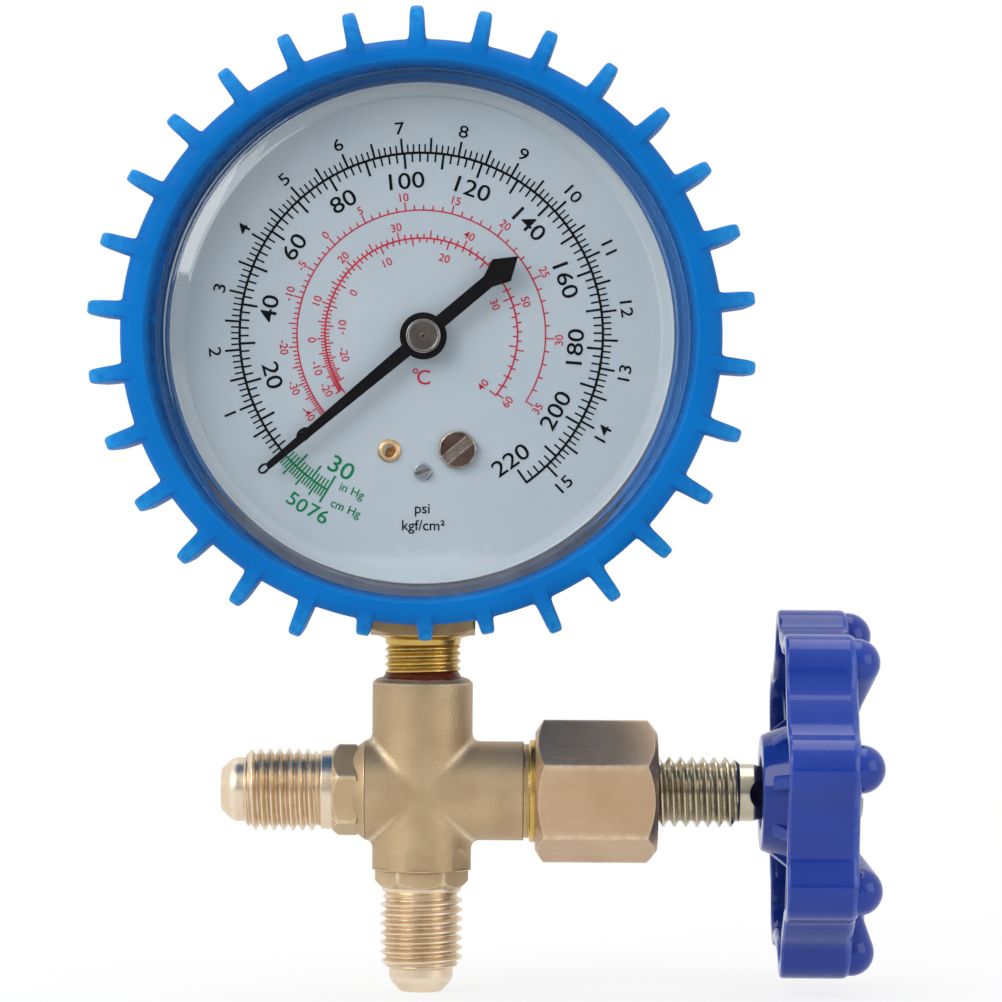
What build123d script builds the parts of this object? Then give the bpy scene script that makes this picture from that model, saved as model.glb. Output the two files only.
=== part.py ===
"""Refrigerant manifold gauge: a Bourdon gauge and one hand valve on a cross-shaped brass body.

Millimetres, +Z up, front towards -Y.  The origin lies on the bottom flare port's axis, where its
thread begins.  The gauge faces the front, and the valve stem runs out along +X.
"""

import os
from math import asin, cos, degrees, pi, radians, sin

from build123d import *

# ---------------------------------------------------------------- clearances
seat_gap = 0.05  # between pieces fixed to each other, on the radius
running_gap = 0.05  # round shafts, pins and threads that turn, on the radius
sliding_gap = 0.15  # between the faces of moving sheet pieces
soft_gap = 0.2  # round the square socket in its rubber sleeve

# ---------------------------------------------------------------- brass body
port_reach = 13.8  # cross centre to the start of either port's thread
upper_arm_radius = 6.75
upper_arm_reach = 15.5
upper_arm_chamfer = 1.2
side_arm_radius = 6.65
neck_radius = 6.3
neck_start = 13.8
neck_end = 14.4
arm_blend = 1.0

thread_radius = 5.55  # 7/16-20 UNF flare thread, as a plain cylinder
thread_length = 9.8
shank_radius = 5.3
nose_radius = 4.3
nose_length = 1.5
nose_cone_length = 1.9
nose_tip_radius = 2.9
flow_bore_radius = 2.4
collar_across_flats = 11.0
collar_length = 3.0
left_collar_start = 9.05
bottom_collar_start = 10.0
left_collar_turn = 5.0

# ---------------------------------------------------------------- valve
chamber_radius = 4.6
chamber_floor = -4.6  # along the stem, from the cross centre
seat_face = -4.0
seat_radius = 2.7
seat_orifice_radius = 1.75
disc_radius = 3.7
disc_thickness = 3.0
disc_socket_depth = 2.0
stem_button_radius = 2.0
turns_to_close = 3.0
stem_pitch = 1.5  # M10 x 1.5
seat_stop_gap = 0.1

spigot_radius = 5.0
spigot_end = 8.2
bonnet_across_flats = 17.0
bonnet_length = 16.42
bonnet_turn = 6.2
bonnet_chamfer = 1.5
bonnet_recess_radius = 5.9
bonnet_recess_depth = 1.2
washer_thickness = 0.84
washer_radius = 6.9

stem_shaft_radius = 3.0
stem_thread_radius = 5.0
stem_thread_start = 25.6
stem_thread_end = 42.7
bonnet_thread_start = 20.4
stem_smooth_radius = 3.85
stem_smooth_length = 1.2
stem_taper_length = 2.2
stem_taper_radius = 2.75
square_across_flats = 4.9
square_start = 44.0
o_ring_section = 0.7
o_ring_positions = (11.4, 14.6)

# ---------------------------------------------------------------- handwheel
wheel_hub_start = 45.6  # along the stem, from the cross centre
wheel_rim_start = 48.0
wheel_face = 57.5
wheel_face_thickness = 2.0
lobe_count = 8
lobe_phase = -10.0  # degrees below the direction that faces the front
lobe_radius = 4.6
wheel_radius = 25.0
lobe_height = 3.2
valley_blend = 5.0
rim_wall = 2.2
rim_edge_round = 0.6
hub_radius = 7.8
rib_thickness = 2.0
bump_radius = 3.2
bump_edge_gap = 0.35
bump_slope = 19.0  # half angle of the teardrop's point
hub_recess_radius = 6.6
hub_recess_depth = 1.7
wheel_washer_radius = 6.0
wheel_washer_thickness = 0.9
wheel_screw_radius = 2.0
wheel_screw_head_radius = 3.9
wheel_screw_head_height = 2.6
wheel_screw_length = 9.0

# ---------------------------------------------------------------- gauge
case_radius = 36.6
case_wall = 0.8
case_back = -9.0  # fronts are measured forward from the socket's axis
case_rim = 15.0
case_corner = 3.0
ledge_front = 11.8
ledge_thickness = 0.8
ledge_width = 1.8
case_neck_radius = 5.5

window_front = 20.0
window_thickness = 2.0
window_case_gap = 0.2
window_round_width = 3.2
window_shoulder = 2.8
window_shoulder_round = 4.2
window_skirt = 2.0
gasket_thickness = 1.6
gasket_width = 2.2

boot_wall = 2.45
boot_lip_front = 21.0
boot_lip_back = 17.45
boot_lip_slope = 1.3
boot_lip_cover = 0.6
boot_back_thickness = 1.5
boot_back_cover = 6.6
boot_front_round = 2.3
boot_back_round = 1.8
fin_height = 4.2
fin_count = 30
fin_back = -8.0
fin_front = 15.6
fin_slope = 3.4
fin_thickness = 2.2
short_fin_count = 3
short_fin_height = 0.8

dial_front = 12.5
dial_thickness = 0.6
dial_edge_gap = 0.2
dial_bush_radius = 2.0
dial_screw_place = (4.9, -15.2)
dial_screw_head_radius = 2.5
dial_screw_head_height = 1.0
dial_screw_slot = 0.85
dial_screw_slot_turn = 40.0
small_screw_place = (0.3, -18.1)
small_screw_head_radius = 1.2
small_screw_head_height = 0.6
dial_screw_shank_radius = 0.8
dial_post_radius = 1.25
eyelet_place = (-4.1, -15.4)
eyelet_radius = 1.55
eyelet_bore_radius = 0.75
eyelet_head_height = 0.35

pointer_front = 14.6
pointer_thickness = 0.4
pointer_rest = -130.4  # degrees clockwise from straight up
pointer_length = 26.8
pointer_root_width = 1.9
pointer_tip_width = 0.9
pointer_tail_length = 16.3
pointer_head_width = 3.75
pointer_head_length = 5.2
pointer_stalk_width = 1.8
pointer_hub_radius = 3.1
bush_radius = 2.25
bush_height = 1.3
bush_lip = 0.5
bush_proud = 0.35
bush_socket_depth = 0.5
bush_hole_radius = 0.33
bush_hole_depth = 0.5

# ---------------------------------------------------------------- gauge socket
socket_across_flats = 14.0
socket_square_start = 20.5  # above the cross centre
socket_square_height = 3.6
square_corner_cut = 2.6
socket_thread_radius = 5.15  # 1/8-27 NPT, as a plain cylinder
socket_thread_engagement = 6.5
socket_bore_radius = 1.5
block_width = 13.0
block_rise = 7.6  # above the bottom of the case
block_top = -12.2  # from the gauge centre
block_front = 3.4
sealant_section = 0.7
case_screw_spacing = 8.0
case_screw_drop = 20.0
case_screw_radius = 1.5
case_screw_head_radius = 2.8
case_screw_head_height = 1.6
case_screw_length = 6.0
case_screw_slot = 0.8

# ---------------------------------------------------------------- movement
gear_module = 0.3
pinion_teeth = 9
sector_teeth = 63
sector_pivot_turn = -163.9  # degrees clockwise from straight up, seen from the pinion
sector_tooth_count = 10
tooth_share = 0.38
root_share = 0.62
tip_share = 0.2
addendum = 0.8
dedendum = 1.15
sheet_thickness = 0.8
sector_front = 7.8
sector_web_radius = 2.2
pinion_length = 2.4
arbor_radius = 0.6
arbor_boss_radius = 1.3
back_plate_front = 4.4
front_plate_front = 10.4
plate_thickness = 1.0
plate_end_radius = 2.4
foot_end_radius = 1.7
post_radius = 1.25
post_places = ((-9.6, -3.4), (5.0, 4.2))
foot_places = ((-4.6, -15.4), (0.6, -14.4))
movement_screw_radius = 0.7
movement_screw_head_radius = 1.3
movement_screw_head_height = 0.8
tail_radius = 5.0
tail_turn = 172.5  # degrees clockwise from straight up
tail_width = 2.4
link_width = 2.2
link_thickness = 0.7
pin_radius = 0.5
pin_head_radius = 1.0
pin_head_height = 0.3
open_pivot_gap = 0.25
lug_place = (18.0, -8.0)

tube_case_gap = 9.8  # tube's middle line to the inside of the case
tube_width = 7.0  # front to back
tube_thickness = 2.4
tube_centre_front = -1.2
tube_tip_turn = 100.0  # degrees clockwise from straight up
tip_length = 4.0
tip_wall = 0.6
hairspring_inner_radius = 1.9
hairspring_pitch = 0.5
hairspring_half_turns = 9
hairspring_strip = 0.12
hairspring_height = 0.7
hairspring_front = 5.9

# ---------------------------------------------------------------- derived places and axes
cross_height = port_reach
gauge_rise = socket_square_start + socket_square_height + case_radius
case_bottom = gauge_rise - case_radius
block_bottom = block_rise - case_radius
window_radius = case_radius - case_wall - window_case_gap
window_flat_radius = window_radius - window_round_width
dial_radius = window_radius - gasket_width - dial_edge_gap
boot_inner = case_radius + seat_gap
boot_radius = boot_inner + boot_wall
boot_lip_radius = window_radius - boot_lip_cover
boot_back_opening = case_radius - boot_back_cover
fin_tip_radius = boot_radius + fin_height
short_fin_tip_radius = boot_radius + short_fin_height
tube_radius = case_radius - case_wall - tube_case_gap
valley_radius = wheel_radius - lobe_height
gauge_height = cross_height + gauge_rise
stem_travel = turns_to_close * stem_pitch
disc_face = seat_face + stem_travel + seat_stop_gap
stem_axis = Axis((0, 0, cross_height), (1, 0, 0))
gauge_axis = Axis((0, 0, gauge_height), (0, -1, 0))
pinion_radius = gear_module * pinion_teeth / 2
sector_radius = gear_module * sector_teeth / 2


def clockwise(radius, turn):
    """Point on the dial at a radius and an angle clockwise from straight up."""
    return (radius * sin(radians(turn)), radius * cos(radians(turn)))


sector_pivot = clockwise(pinion_radius + sector_radius, sector_pivot_turn)
tail_offset = clockwise(tail_radius, tail_turn)
tube_root_turn = degrees(asin((block_width / 2 + seat_gap) / (tube_radius - tube_thickness / 2))) - 180
tail_place = (sector_pivot[0] + tail_offset[0], sector_pivot[1] + tail_offset[1])

# ---------------------------------------------------------------- sketch planes


def dial_plane(front):
    """Plane facing the front: x to the right, y up, its centre on the gauge's axis."""
    return Plane(origin=(0, -front, gauge_height), x_dir=(1, 0, 0), z_dir=(0, -1, 0))


def stem_plane(along):
    """Plane facing +X across the valve stem: x towards the front, y down."""
    return Plane(origin=(along, 0, cross_height), x_dir=(0, -1, 0), z_dir=(1, 0, 0))


gauge_section = Plane(origin=(0, 0, gauge_height), x_dir=(0, 0, 1), z_dir=(1, 0, 0))  # radius, front
upright_section = Plane(origin=(0, 0, cross_height), x_dir=(1, 0, 0), z_dir=(0, -1, 0))  # radius, up
stem_section = Plane(origin=(0, 0, cross_height), x_dir=(1, 0, 0), z_dir=(0, -1, 0))  # along, radius

# ---------------------------------------------------------------- shared shapes


def outline(plane, points):
    """Closed straight-sided outline, ready to be revolved or extruded."""
    with BuildSketch(plane) as closed:
        with BuildLine():
            Polyline(*points, close=True)
        make_face()
    return closed.sketch


def port_profile():
    """(Distance from the cross centre, radius) of a flare port's shank, thread and nose."""
    thread_end = port_reach + thread_length
    cone_start = thread_end + nose_length
    return [
        (port_reach, shank_radius),
        (port_reach, thread_radius),
        (thread_end, thread_radius),
        (thread_end, nose_radius),
        (cone_start, nose_radius),
        (cone_start + nose_cone_length, nose_tip_radius),
        (cone_start + nose_cone_length, 0),
    ]


def turned_bar(plane, sides, across_flats, length, chamfers, turn=0.0):
    """Hexagonal or square bar on a plane; chamfers are (first end, far end) turned cones."""
    corner_radius = across_flats / 2 / cos(pi / sides)
    low_radius = corner_radius - chamfers[0]
    high_radius = corner_radius - chamfers[1]
    with BuildPart() as bar:
        with BuildSketch(plane):
            RegularPolygon(across_flats / 2, sides, major_radius=False, rotation=turn)
        extrude(amount=length)
        with BuildSketch(Plane(origin=plane.origin, x_dir=plane.x_dir, z_dir=-plane.y_dir)):
            with BuildLine():
                Polyline(
                    (0, 0),
                    (low_radius, 0),
                    (corner_radius, chamfers[0] * 0.6),
                    (corner_radius, length - chamfers[1] * 0.6),
                    (high_radius, length),
                    (0, length),
                    close=True,
                )
            make_face()
        revolve(axis=Axis(plane.origin, plane.z_dir), mode=Mode.INTERSECT)
    return bar.part


os.makedirs("parts", exist_ok=True)


def save(piece, name):
    """Label a finished piece and write its file."""
    piece.part.label = name
    export_step(piece.part, f"parts/{name}.step")


# ---------------------------------------------------------------- brass body
with BuildPart() as manifold_body:
    upright_points = [(0, upper_arm_reach), (upper_arm_radius - upper_arm_chamfer, upper_arm_reach)]
    upright_points += [(upper_arm_radius, upper_arm_reach - upper_arm_chamfer)]
    upright_points += [(upper_arm_radius, -bottom_collar_start), (shank_radius, -bottom_collar_start)]
    upright_points += [(radius, -reach) for reach, radius in port_profile()]
    revolve(outline(upright_section, upright_points), axis=Axis.Z)
    side_points = [(neck_end, 0), (neck_end, neck_radius), (neck_start, neck_radius)]
    side_points += [(neck_start, side_arm_radius), (-left_collar_start, side_arm_radius)]
    side_points += [(-left_collar_start, shank_radius)]
    side_points += [(-reach, radius) for reach, radius in port_profile()]
    revolve(outline(stem_section, side_points), axis=stem_axis)
    arm_seams = [edge for edge in manifold_body.edges() if edge.center().Z < cross_height - 1]
    arm_seams = [edge for edge in arm_seams if edge.geom_type not in (GeomType.CIRCLE, GeomType.LINE)]
    fillet(arm_seams, arm_blend)
    down_plane = Plane(origin=(0, 0, cross_height - bottom_collar_start), x_dir=(1, 0, 0), z_dir=(0, 0, -1))
    add(turned_bar(down_plane, 6, collar_across_flats, collar_length, (0.3, 0.8), 0.0))
    left_plane = Plane(origin=(-left_collar_start, 0, cross_height), x_dir=(0, 0, 1), z_dir=(-1, 0, 0))
    add(turned_bar(left_plane, 6, collar_across_flats, collar_length, (0.3, 0.4), left_collar_turn))
    # bottom and gauge passages
    full_reach = port_reach + thread_length + nose_length + nose_cone_length
    with Locations((0, 0, cross_height - full_reach / 2)):
        Cylinder(flow_bore_radius, full_reach, mode=Mode.SUBTRACT)
    socket_floor = upper_arm_reach - socket_thread_engagement - 1.0
    with BuildSketch(Plane.XY.offset(cross_height)):
        Circle(flow_bore_radius)
    extrude(amount=socket_floor, mode=Mode.SUBTRACT)
    mouth_points = [(0, socket_floor), (socket_thread_radius + seat_gap, socket_floor)]
    mouth_points += [(socket_thread_radius + seat_gap, upper_arm_reach - 2 * sealant_section)]
    mouth_points += [(socket_thread_radius + 1.2 * sealant_section, upper_arm_reach), (0, upper_arm_reach)]
    revolve(outline(upright_section, mouth_points), axis=Axis.Z, mode=Mode.SUBTRACT)
    # valve chamber, raised seat and left passage
    chamber_points = [(seat_face, seat_orifice_radius), (seat_face, seat_radius)]
    chamber_points += [(chamber_floor, seat_radius), (chamber_floor, chamber_radius)]
    chamber_points += [(spigot_end - 0.3, chamber_radius), (spigot_end - 0.3, spigot_radius + seat_gap)]
    chamber_points += [(neck_end, spigot_radius + seat_gap), (neck_end, 0)]
    chamber_points += [(-full_reach, 0), (-full_reach, flow_bore_radius)]
    chamber_points += [(2 * chamber_floor, flow_bore_radius), (2 * chamber_floor, seat_orifice_radius)]
    revolve(outline(stem_section, chamber_points), axis=stem_axis, mode=Mode.SUBTRACT)
save(manifold_body, "manifold_body")

with BuildPart() as thread_sealant:
    ring_points = [(socket_thread_radius + seat_gap / 2, upper_arm_reach - 1.2 * sealant_section)]
    ring_points += [(socket_thread_radius + 0.75 * sealant_section, upper_arm_reach - 0.1)]
    ring_points += [(socket_thread_radius + 0.6 * sealant_section, upper_arm_reach + 0.3 * sealant_section)]
    ring_points += [(socket_thread_radius + seat_gap / 2, upper_arm_reach + 0.5 * sealant_section)]
    revolve(outline(upright_section, ring_points), axis=Axis.Z)
save(thread_sealant, "thread_sealant")

# ---------------------------------------------------------------- valve bonnet
bonnet_start = neck_end + washer_thickness
bonnet_end = bonnet_start + bonnet_length
with BuildPart() as valve_bonnet:
    add(
        turned_bar(
            stem_plane(bonnet_start),
            6,
            bonnet_across_flats,
            bonnet_length,
            (bonnet_chamfer, bonnet_chamfer),
            bonnet_turn + 60,
        )
    )
    with BuildSketch(stem_plane(bonnet_start)):
        Circle(spigot_radius)
    extrude(amount=-(bonnet_start - spigot_end))
    hole_points = [(spigot_end, 0), (spigot_end, stem_shaft_radius + running_gap)]
    hole_points += [(bonnet_thread_start, stem_shaft_radius + running_gap)]
    hole_points += [(bonnet_thread_start, stem_thread_radius + running_gap)]
    hole_points += [(bonnet_end - bonnet_recess_depth, stem_thread_radius + running_gap)]
    hole_points += [(bonnet_end - bonnet_recess_depth, bonnet_recess_radius)]
    hole_points += [(bonnet_end, bonnet_recess_radius), (bonnet_end, 0)]
    revolve(outline(stem_section, hole_points), axis=stem_axis, mode=Mode.SUBTRACT)
save(valve_bonnet, "valve_bonnet")

with BuildPart() as bonnet_washer:
    with BuildSketch(stem_plane(neck_end)):
        Circle(washer_radius)
        Circle(spigot_radius + seat_gap, mode=Mode.SUBTRACT)
    extrude(amount=washer_thickness)
    chamfer(bonnet_washer.edges().filter_by(GeomType.CIRCLE).group_by(Axis.X)[-1].sort_by(SortBy.RADIUS)[-1], 0.25)
save(bonnet_washer, "bonnet_washer")

# ---------------------------------------------------------------- valve stem and seat disc
socket_end = disc_face + disc_thickness - disc_socket_depth
hub_recess_floor = wheel_face - hub_recess_depth
square_end = hub_recess_floor - 0.2
smooth_end = stem_thread_end + stem_smooth_length
with BuildPart() as valve_stem:
    stem_points = [(socket_end + running_gap, 0), (socket_end + running_gap, stem_button_radius)]
    stem_points += [(disc_face + disc_thickness + 0.3, stem_button_radius)]
    stem_points += [(disc_face + disc_thickness + 0.3, stem_shaft_radius)]
    stem_points += [(stem_thread_start, stem_shaft_radius), (stem_thread_start, stem_thread_radius)]
    stem_points += [(stem_thread_end, stem_thread_radius), (stem_thread_end, stem_smooth_radius)]
    stem_points += [(smooth_end, stem_smooth_radius)]
    stem_points += [(smooth_end + stem_taper_length, stem_taper_radius + 0.45)]
    stem_points += [(square_end, stem_taper_radius + 0.45), (square_end, 0)]
    revolve(outline(stem_section, stem_points), axis=stem_axis)
    for groove_place in o_ring_positions:
        groove_low = groove_place - o_ring_section - seat_gap
        groove_high = groove_place + o_ring_section + seat_gap
        groove_depth = stem_shaft_radius - 2 * o_ring_section
        groove_points = [(groove_low, groove_depth), (groove_low, stem_shaft_radius + 0.1)]
        groove_points += [(groove_high, stem_shaft_radius + 0.1), (groove_high, groove_depth)]
        revolve(outline(stem_section, groove_points), axis=stem_axis, mode=Mode.SUBTRACT)
    with BuildSketch(stem_plane(square_start)):
        Circle(stem_smooth_radius + 0.5)
        Rectangle(square_across_flats, square_across_flats, rotation=lobe_phase, mode=Mode.SUBTRACT)
    extrude(amount=square_end - square_start, mode=Mode.SUBTRACT)
    with BuildSketch(stem_plane(square_end)):
        Circle(wheel_screw_radius + seat_gap)
    extrude(amount=-(wheel_screw_length + 0.5), mode=Mode.SUBTRACT)
save(valve_stem, "valve_stem")

with BuildPart() as stem_o_rings:
    for ring_place in o_ring_positions:
        with BuildSketch(stem_section):
            with Locations((ring_place, stem_shaft_radius - o_ring_section + running_gap / 2)):
                Circle(o_ring_section - running_gap / 2)
        revolve(axis=stem_axis)
save(stem_o_rings, "stem_o_rings")

with BuildPart() as seat_disc:
    with BuildSketch(stem_plane(disc_face)):
        Circle(disc_radius)
    extrude(amount=disc_thickness)
    chamfer(seat_disc.edges().group_by(Axis.X)[0], 0.4)
    with BuildSketch(stem_plane(disc_face + disc_thickness)):
        Circle(stem_button_radius + running_gap)
    extrude(amount=-disc_socket_depth, mode=Mode.SUBTRACT)
save(seat_disc, "seat_disc")

# ---------------------------------------------------------------- handwheel


def lobed_outline(inset):
    """The wheel's lobed edge, lying flat and drawn in by an inset."""
    with BuildSketch() as edge:
        Circle(valley_radius - inset)
        with PolarLocations(wheel_radius - lobe_radius, lobe_count, start_angle=lobe_phase):
            Circle(lobe_radius - inset)
        fillet(edge.vertices(), valley_blend + inset)
    return edge.sketch


pocket_depth = wheel_face - wheel_face_thickness - wheel_rim_start
# A rib and a bump stand along local x, the radius, with local z along the stem from the rim's edge.
with BuildPart() as wheel_rib:
    with BuildSketch(Plane.XZ):
        with BuildLine():
            Polyline(
                (hub_radius - 1, wheel_hub_start - wheel_rim_start + 0.3),
                (wheel_radius - rim_wall / 2, 0.3),
                (wheel_radius - rim_wall / 2, pocket_depth + 0.5),
                (hub_radius - 1, pocket_depth + 0.5),
                close=True,
            )
        make_face()
    extrude(amount=rib_thickness / 2, both=True)

face_height = wheel_face - wheel_rim_start
# The bump is half of a turned teardrop: round at the lobe, and sloping down towards the hub.
bump_centre = wheel_radius - bump_edge_gap - bump_radius
slope_start_along = bump_centre - bump_radius * sin(radians(bump_slope))
slope_start_across = bump_radius * cos(radians(bump_slope))
bump_tip = bump_centre - bump_radius / sin(radians(bump_slope))

with BuildSketch() as half_bump:
    with BuildLine():
        Line((bump_tip, 0), (slope_start_along, slope_start_across))
        RadiusArc((slope_start_along, slope_start_across), (bump_centre + bump_radius, 0), bump_radius)
        Line((bump_centre + bump_radius, 0), (bump_tip, 0))
    make_face()

with BuildSketch() as whole_bump:
    add(half_bump.sketch)
    mirror(about=Plane.XZ)

with BuildPart() as wheel_bump:
    with BuildSketch(Plane.XY.offset(face_height)):
        add(half_bump.sketch)
    revolve(axis=Axis((0, 0, face_height), (1, 0, 0)), revolution_arc=180)
    with BuildSketch(Plane.XY.offset(face_height - wheel_face_thickness / 2)):
        add(whole_bump.sketch)
    extrude(amount=wheel_face_thickness / 2)

with BuildPart() as handwheel:
    with BuildSketch(stem_plane(wheel_rim_start)):
        add(lobed_outline(0))
    extrude(amount=face_height)
    fillet(handwheel.edges().group_by(Axis.X)[-1], rim_edge_round)
    with BuildSketch(stem_plane(wheel_rim_start)):
        add(lobed_outline(rim_wall))
    extrude(amount=pocket_depth, mode=Mode.SUBTRACT)
    with BuildSketch(stem_plane(wheel_hub_start)):
        Circle(hub_radius)
    extrude(amount=wheel_face - wheel_hub_start)
    with Locations(stem_plane(wheel_rim_start)):
        with PolarLocations(0, lobe_count, start_angle=lobe_phase):
            add(wheel_rib.part)
            add(wheel_bump.part)
    with BuildSketch(stem_plane(wheel_hub_start)):
        Rectangle(square_across_flats + 2 * seat_gap, square_across_flats + 2 * seat_gap, rotation=lobe_phase)
    extrude(amount=wheel_face - wheel_hub_start, mode=Mode.SUBTRACT)
    with BuildSketch(stem_plane(wheel_face)):
        Circle(hub_recess_radius)
    extrude(amount=-hub_recess_depth, mode=Mode.SUBTRACT)
save(handwheel, "handwheel")

with BuildPart() as handwheel_washer:
    with BuildSketch(stem_plane(hub_recess_floor)):
        Circle(wheel_washer_radius)
        Circle(wheel_screw_radius + seat_gap, mode=Mode.SUBTRACT)
    extrude(amount=wheel_washer_thickness)
save(handwheel_washer, "handwheel_washer")

screw_seat = hub_recess_floor + wheel_washer_thickness
with BuildPart() as handwheel_screw:
    with BuildSketch(stem_plane(screw_seat)):
        Circle(wheel_screw_head_radius)
    extrude(amount=wheel_screw_head_height)
    fillet(handwheel_screw.edges().group_by(Axis.X)[-1], 1.2)
    with BuildSketch(stem_plane(screw_seat)):
        Circle(wheel_screw_radius)
    extrude(amount=-(wheel_screw_length + wheel_washer_thickness))
    with BuildSketch(stem_plane(screw_seat + wheel_screw_head_height)):
        Rectangle(2 * wheel_screw_head_radius, 1.0)
    extrude(amount=-1.1, mode=Mode.SUBTRACT)
save(handwheel_screw, "handwheel_screw")

# ---------------------------------------------------------------- gauge socket
with BuildPart() as gauge_socket:
    square_plane = Plane.XY.offset(cross_height + socket_square_start)
    square_height = case_bottom - seat_gap - socket_square_start
    add(turned_bar(square_plane, 4, socket_across_flats, square_height, (square_corner_cut, 0.6), 45))
    neck_points = [(0, upper_arm_reach - socket_thread_engagement)]
    neck_points += [(socket_thread_radius, upper_arm_reach - socket_thread_engagement)]
    neck_points += [(socket_thread_radius, socket_square_start), (case_neck_radius, case_bottom - 0.5)]
    neck_points += [(case_neck_radius, gauge_rise + block_bottom + 0.5)]
    neck_points += [(0, gauge_rise + block_bottom + 0.5)]
    revolve(outline(upright_section, neck_points), axis=Axis.Z)
    with BuildSketch(dial_plane(block_front)):
        with Locations((0, (block_bottom + block_top) / 2)):
            Rectangle(block_width, block_top - block_bottom)
    extrude(amount=-(block_front - case_back - case_wall - seat_gap))
    fillet(gauge_socket.edges().filter_by(Axis.Y).group_by(Axis.Z)[-1], 1.0)
    with BuildSketch(dial_plane(block_front)):
        with Locations(dial_screw_place, small_screw_place):
            Circle(dial_post_radius)
    extrude(amount=dial_front - dial_thickness - seat_gap - block_front)
    with BuildSketch(dial_plane(dial_front)):
        with Locations(dial_screw_place, small_screw_place):
            Circle(dial_screw_shank_radius + seat_gap)
    extrude(amount=-5.0, mode=Mode.SUBTRACT)
    with BuildSketch(dial_plane(case_back)):
        with Locations((0, -case_screw_drop)):
            with GridLocations(case_screw_spacing, 0, 2, 1):
                Circle(case_screw_radius + seat_gap)
    extrude(amount=case_screw_length + 0.5, mode=Mode.SUBTRACT)
    with BuildSketch(dial_plane(block_front)):
        with Locations(*foot_places):
            Circle(movement_screw_radius + seat_gap)
    extrude(amount=-4.0, mode=Mode.SUBTRACT)
    with BuildSketch(Plane.XY.offset(cross_height)):
        Circle(socket_bore_radius)
    extrude(amount=gauge_rise + block_bottom + 6.0, mode=Mode.SUBTRACT)
save(gauge_socket, "gauge_socket")

# ---------------------------------------------------------------- gauge case
with BuildPart() as gauge_case:
    inner_radius = case_radius - case_wall
    inner_corner = case_corner - case_wall
    with BuildSketch(gauge_section) as case_wall_profile:
        with BuildLine():
            Polyline((0, case_back + case_wall), (0, case_back), (case_radius - case_corner, case_back))
            RadiusArc((case_radius - case_corner, case_back), (case_radius, case_back + case_corner), -case_corner)
            Polyline(
                (case_radius, case_back + case_corner),
                (case_radius, case_rim),
                (inner_radius, case_rim),
                (inner_radius, ledge_front),
                (inner_radius - ledge_width, ledge_front),
                (inner_radius - ledge_width, ledge_front - ledge_thickness),
                (inner_radius, ledge_front - ledge_thickness),
                (inner_radius, case_back + case_corner),
            )
            RadiusArc(
                (inner_radius, case_back + case_corner),
                (case_radius - case_corner, case_back + case_wall),
                inner_corner,
            )
            Line((case_radius - case_corner, case_back + case_wall), (0, case_back + case_wall))
        make_face()
    revolve(axis=gauge_axis)
    with BuildSketch(Plane.XY.offset(cross_height + case_bottom - 1)):
        Circle(case_neck_radius + seat_gap)
    extrude(amount=5.0, mode=Mode.SUBTRACT)
    with BuildSketch(dial_plane(case_back)):
        with Locations((0, -case_screw_drop)):
            with GridLocations(case_screw_spacing, 0, 2, 1):
                Circle(case_screw_radius + seat_gap)
    extrude(amount=2 * case_wall, mode=Mode.SUBTRACT)
save(gauge_case, "gauge_case")

with BuildPart() as case_screws:
    back_plane = Plane(origin=(0, -case_back, gauge_height), x_dir=(1, 0, 0), z_dir=(0, 1, 0))
    with BuildSketch(back_plane):
        with Locations((0, case_screw_drop)):
            with GridLocations(case_screw_spacing, 0, 2, 1):
                Circle(case_screw_head_radius)
    extrude(amount=case_screw_head_height)
    fillet(case_screws.edges().group_by(Axis.Y)[-1], 0.7)
    with BuildSketch(back_plane):
        with Locations((0, case_screw_drop)):
            with GridLocations(case_screw_spacing, 0, 2, 1):
                Circle(case_screw_radius)
    extrude(amount=-case_screw_length)
    with BuildSketch(back_plane.offset(case_screw_head_height)):
        with Locations((0, case_screw_drop)):
            with GridLocations(case_screw_spacing, 0, 2, 1):
                Rectangle(2.2 * case_screw_head_radius, case_screw_slot, rotation=30)
    extrude(amount=-0.8, mode=Mode.SUBTRACT)
save(case_screws, "case_screws")

# ---------------------------------------------------------------- window, gasket and boot
with BuildPart() as window:
    shoulder_front = window_front - window_shoulder
    gasket_front = ledge_front + gasket_thickness
    skirt_inner = window_radius - window_skirt
    window_inner = window_front - window_thickness
    with BuildSketch(gauge_section) as window_profile:
        with BuildLine():
            Line((0, window_front), (window_flat_radius, window_front))
            RadiusArc((window_flat_radius, window_front), (window_radius, shoulder_front), window_shoulder_round)
            Polyline(
                (window_radius, shoulder_front),
                (window_radius, gasket_front),
                (skirt_inner, gasket_front),
                (skirt_inner, shoulder_front - 0.6),
                (window_flat_radius - 0.6, window_inner),
                (0, window_inner),
                (0, window_front),
            )
        make_face()
    revolve(axis=gauge_axis)
save(window, "window")

with BuildPart() as window_gasket:
    with BuildSketch(dial_plane(ledge_front)):
        Circle(window_radius)
        Circle(window_radius - gasket_width, mode=Mode.SUBTRACT)
    extrude(amount=gasket_thickness)
save(window_gasket, "window_gasket")


def boot_fin(tip_radius):
    """One fin standing along local x, the radius, with local z towards the front."""
    root_radius = boot_radius - 0.8
    rise = tip_radius - root_radius
    with BuildPart() as fin:
        with BuildSketch(Plane.XZ):
            with BuildLine():
                Polyline(
                    (root_radius, fin_back),
                    (tip_radius - 0.5, fin_back),
                    (tip_radius, fin_back + 0.8),
                    (tip_radius, fin_front - fin_slope * rise / (fin_tip_radius - root_radius)),
                    (root_radius, fin_front),
                    close=True,
                )
            make_face()
        extrude(amount=fin_thickness / 2, both=True)
        chamfer(fin.edges().filter_by(Axis.Z).group_by(Axis.X)[-1], 0.4)
    return fin.part


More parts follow.
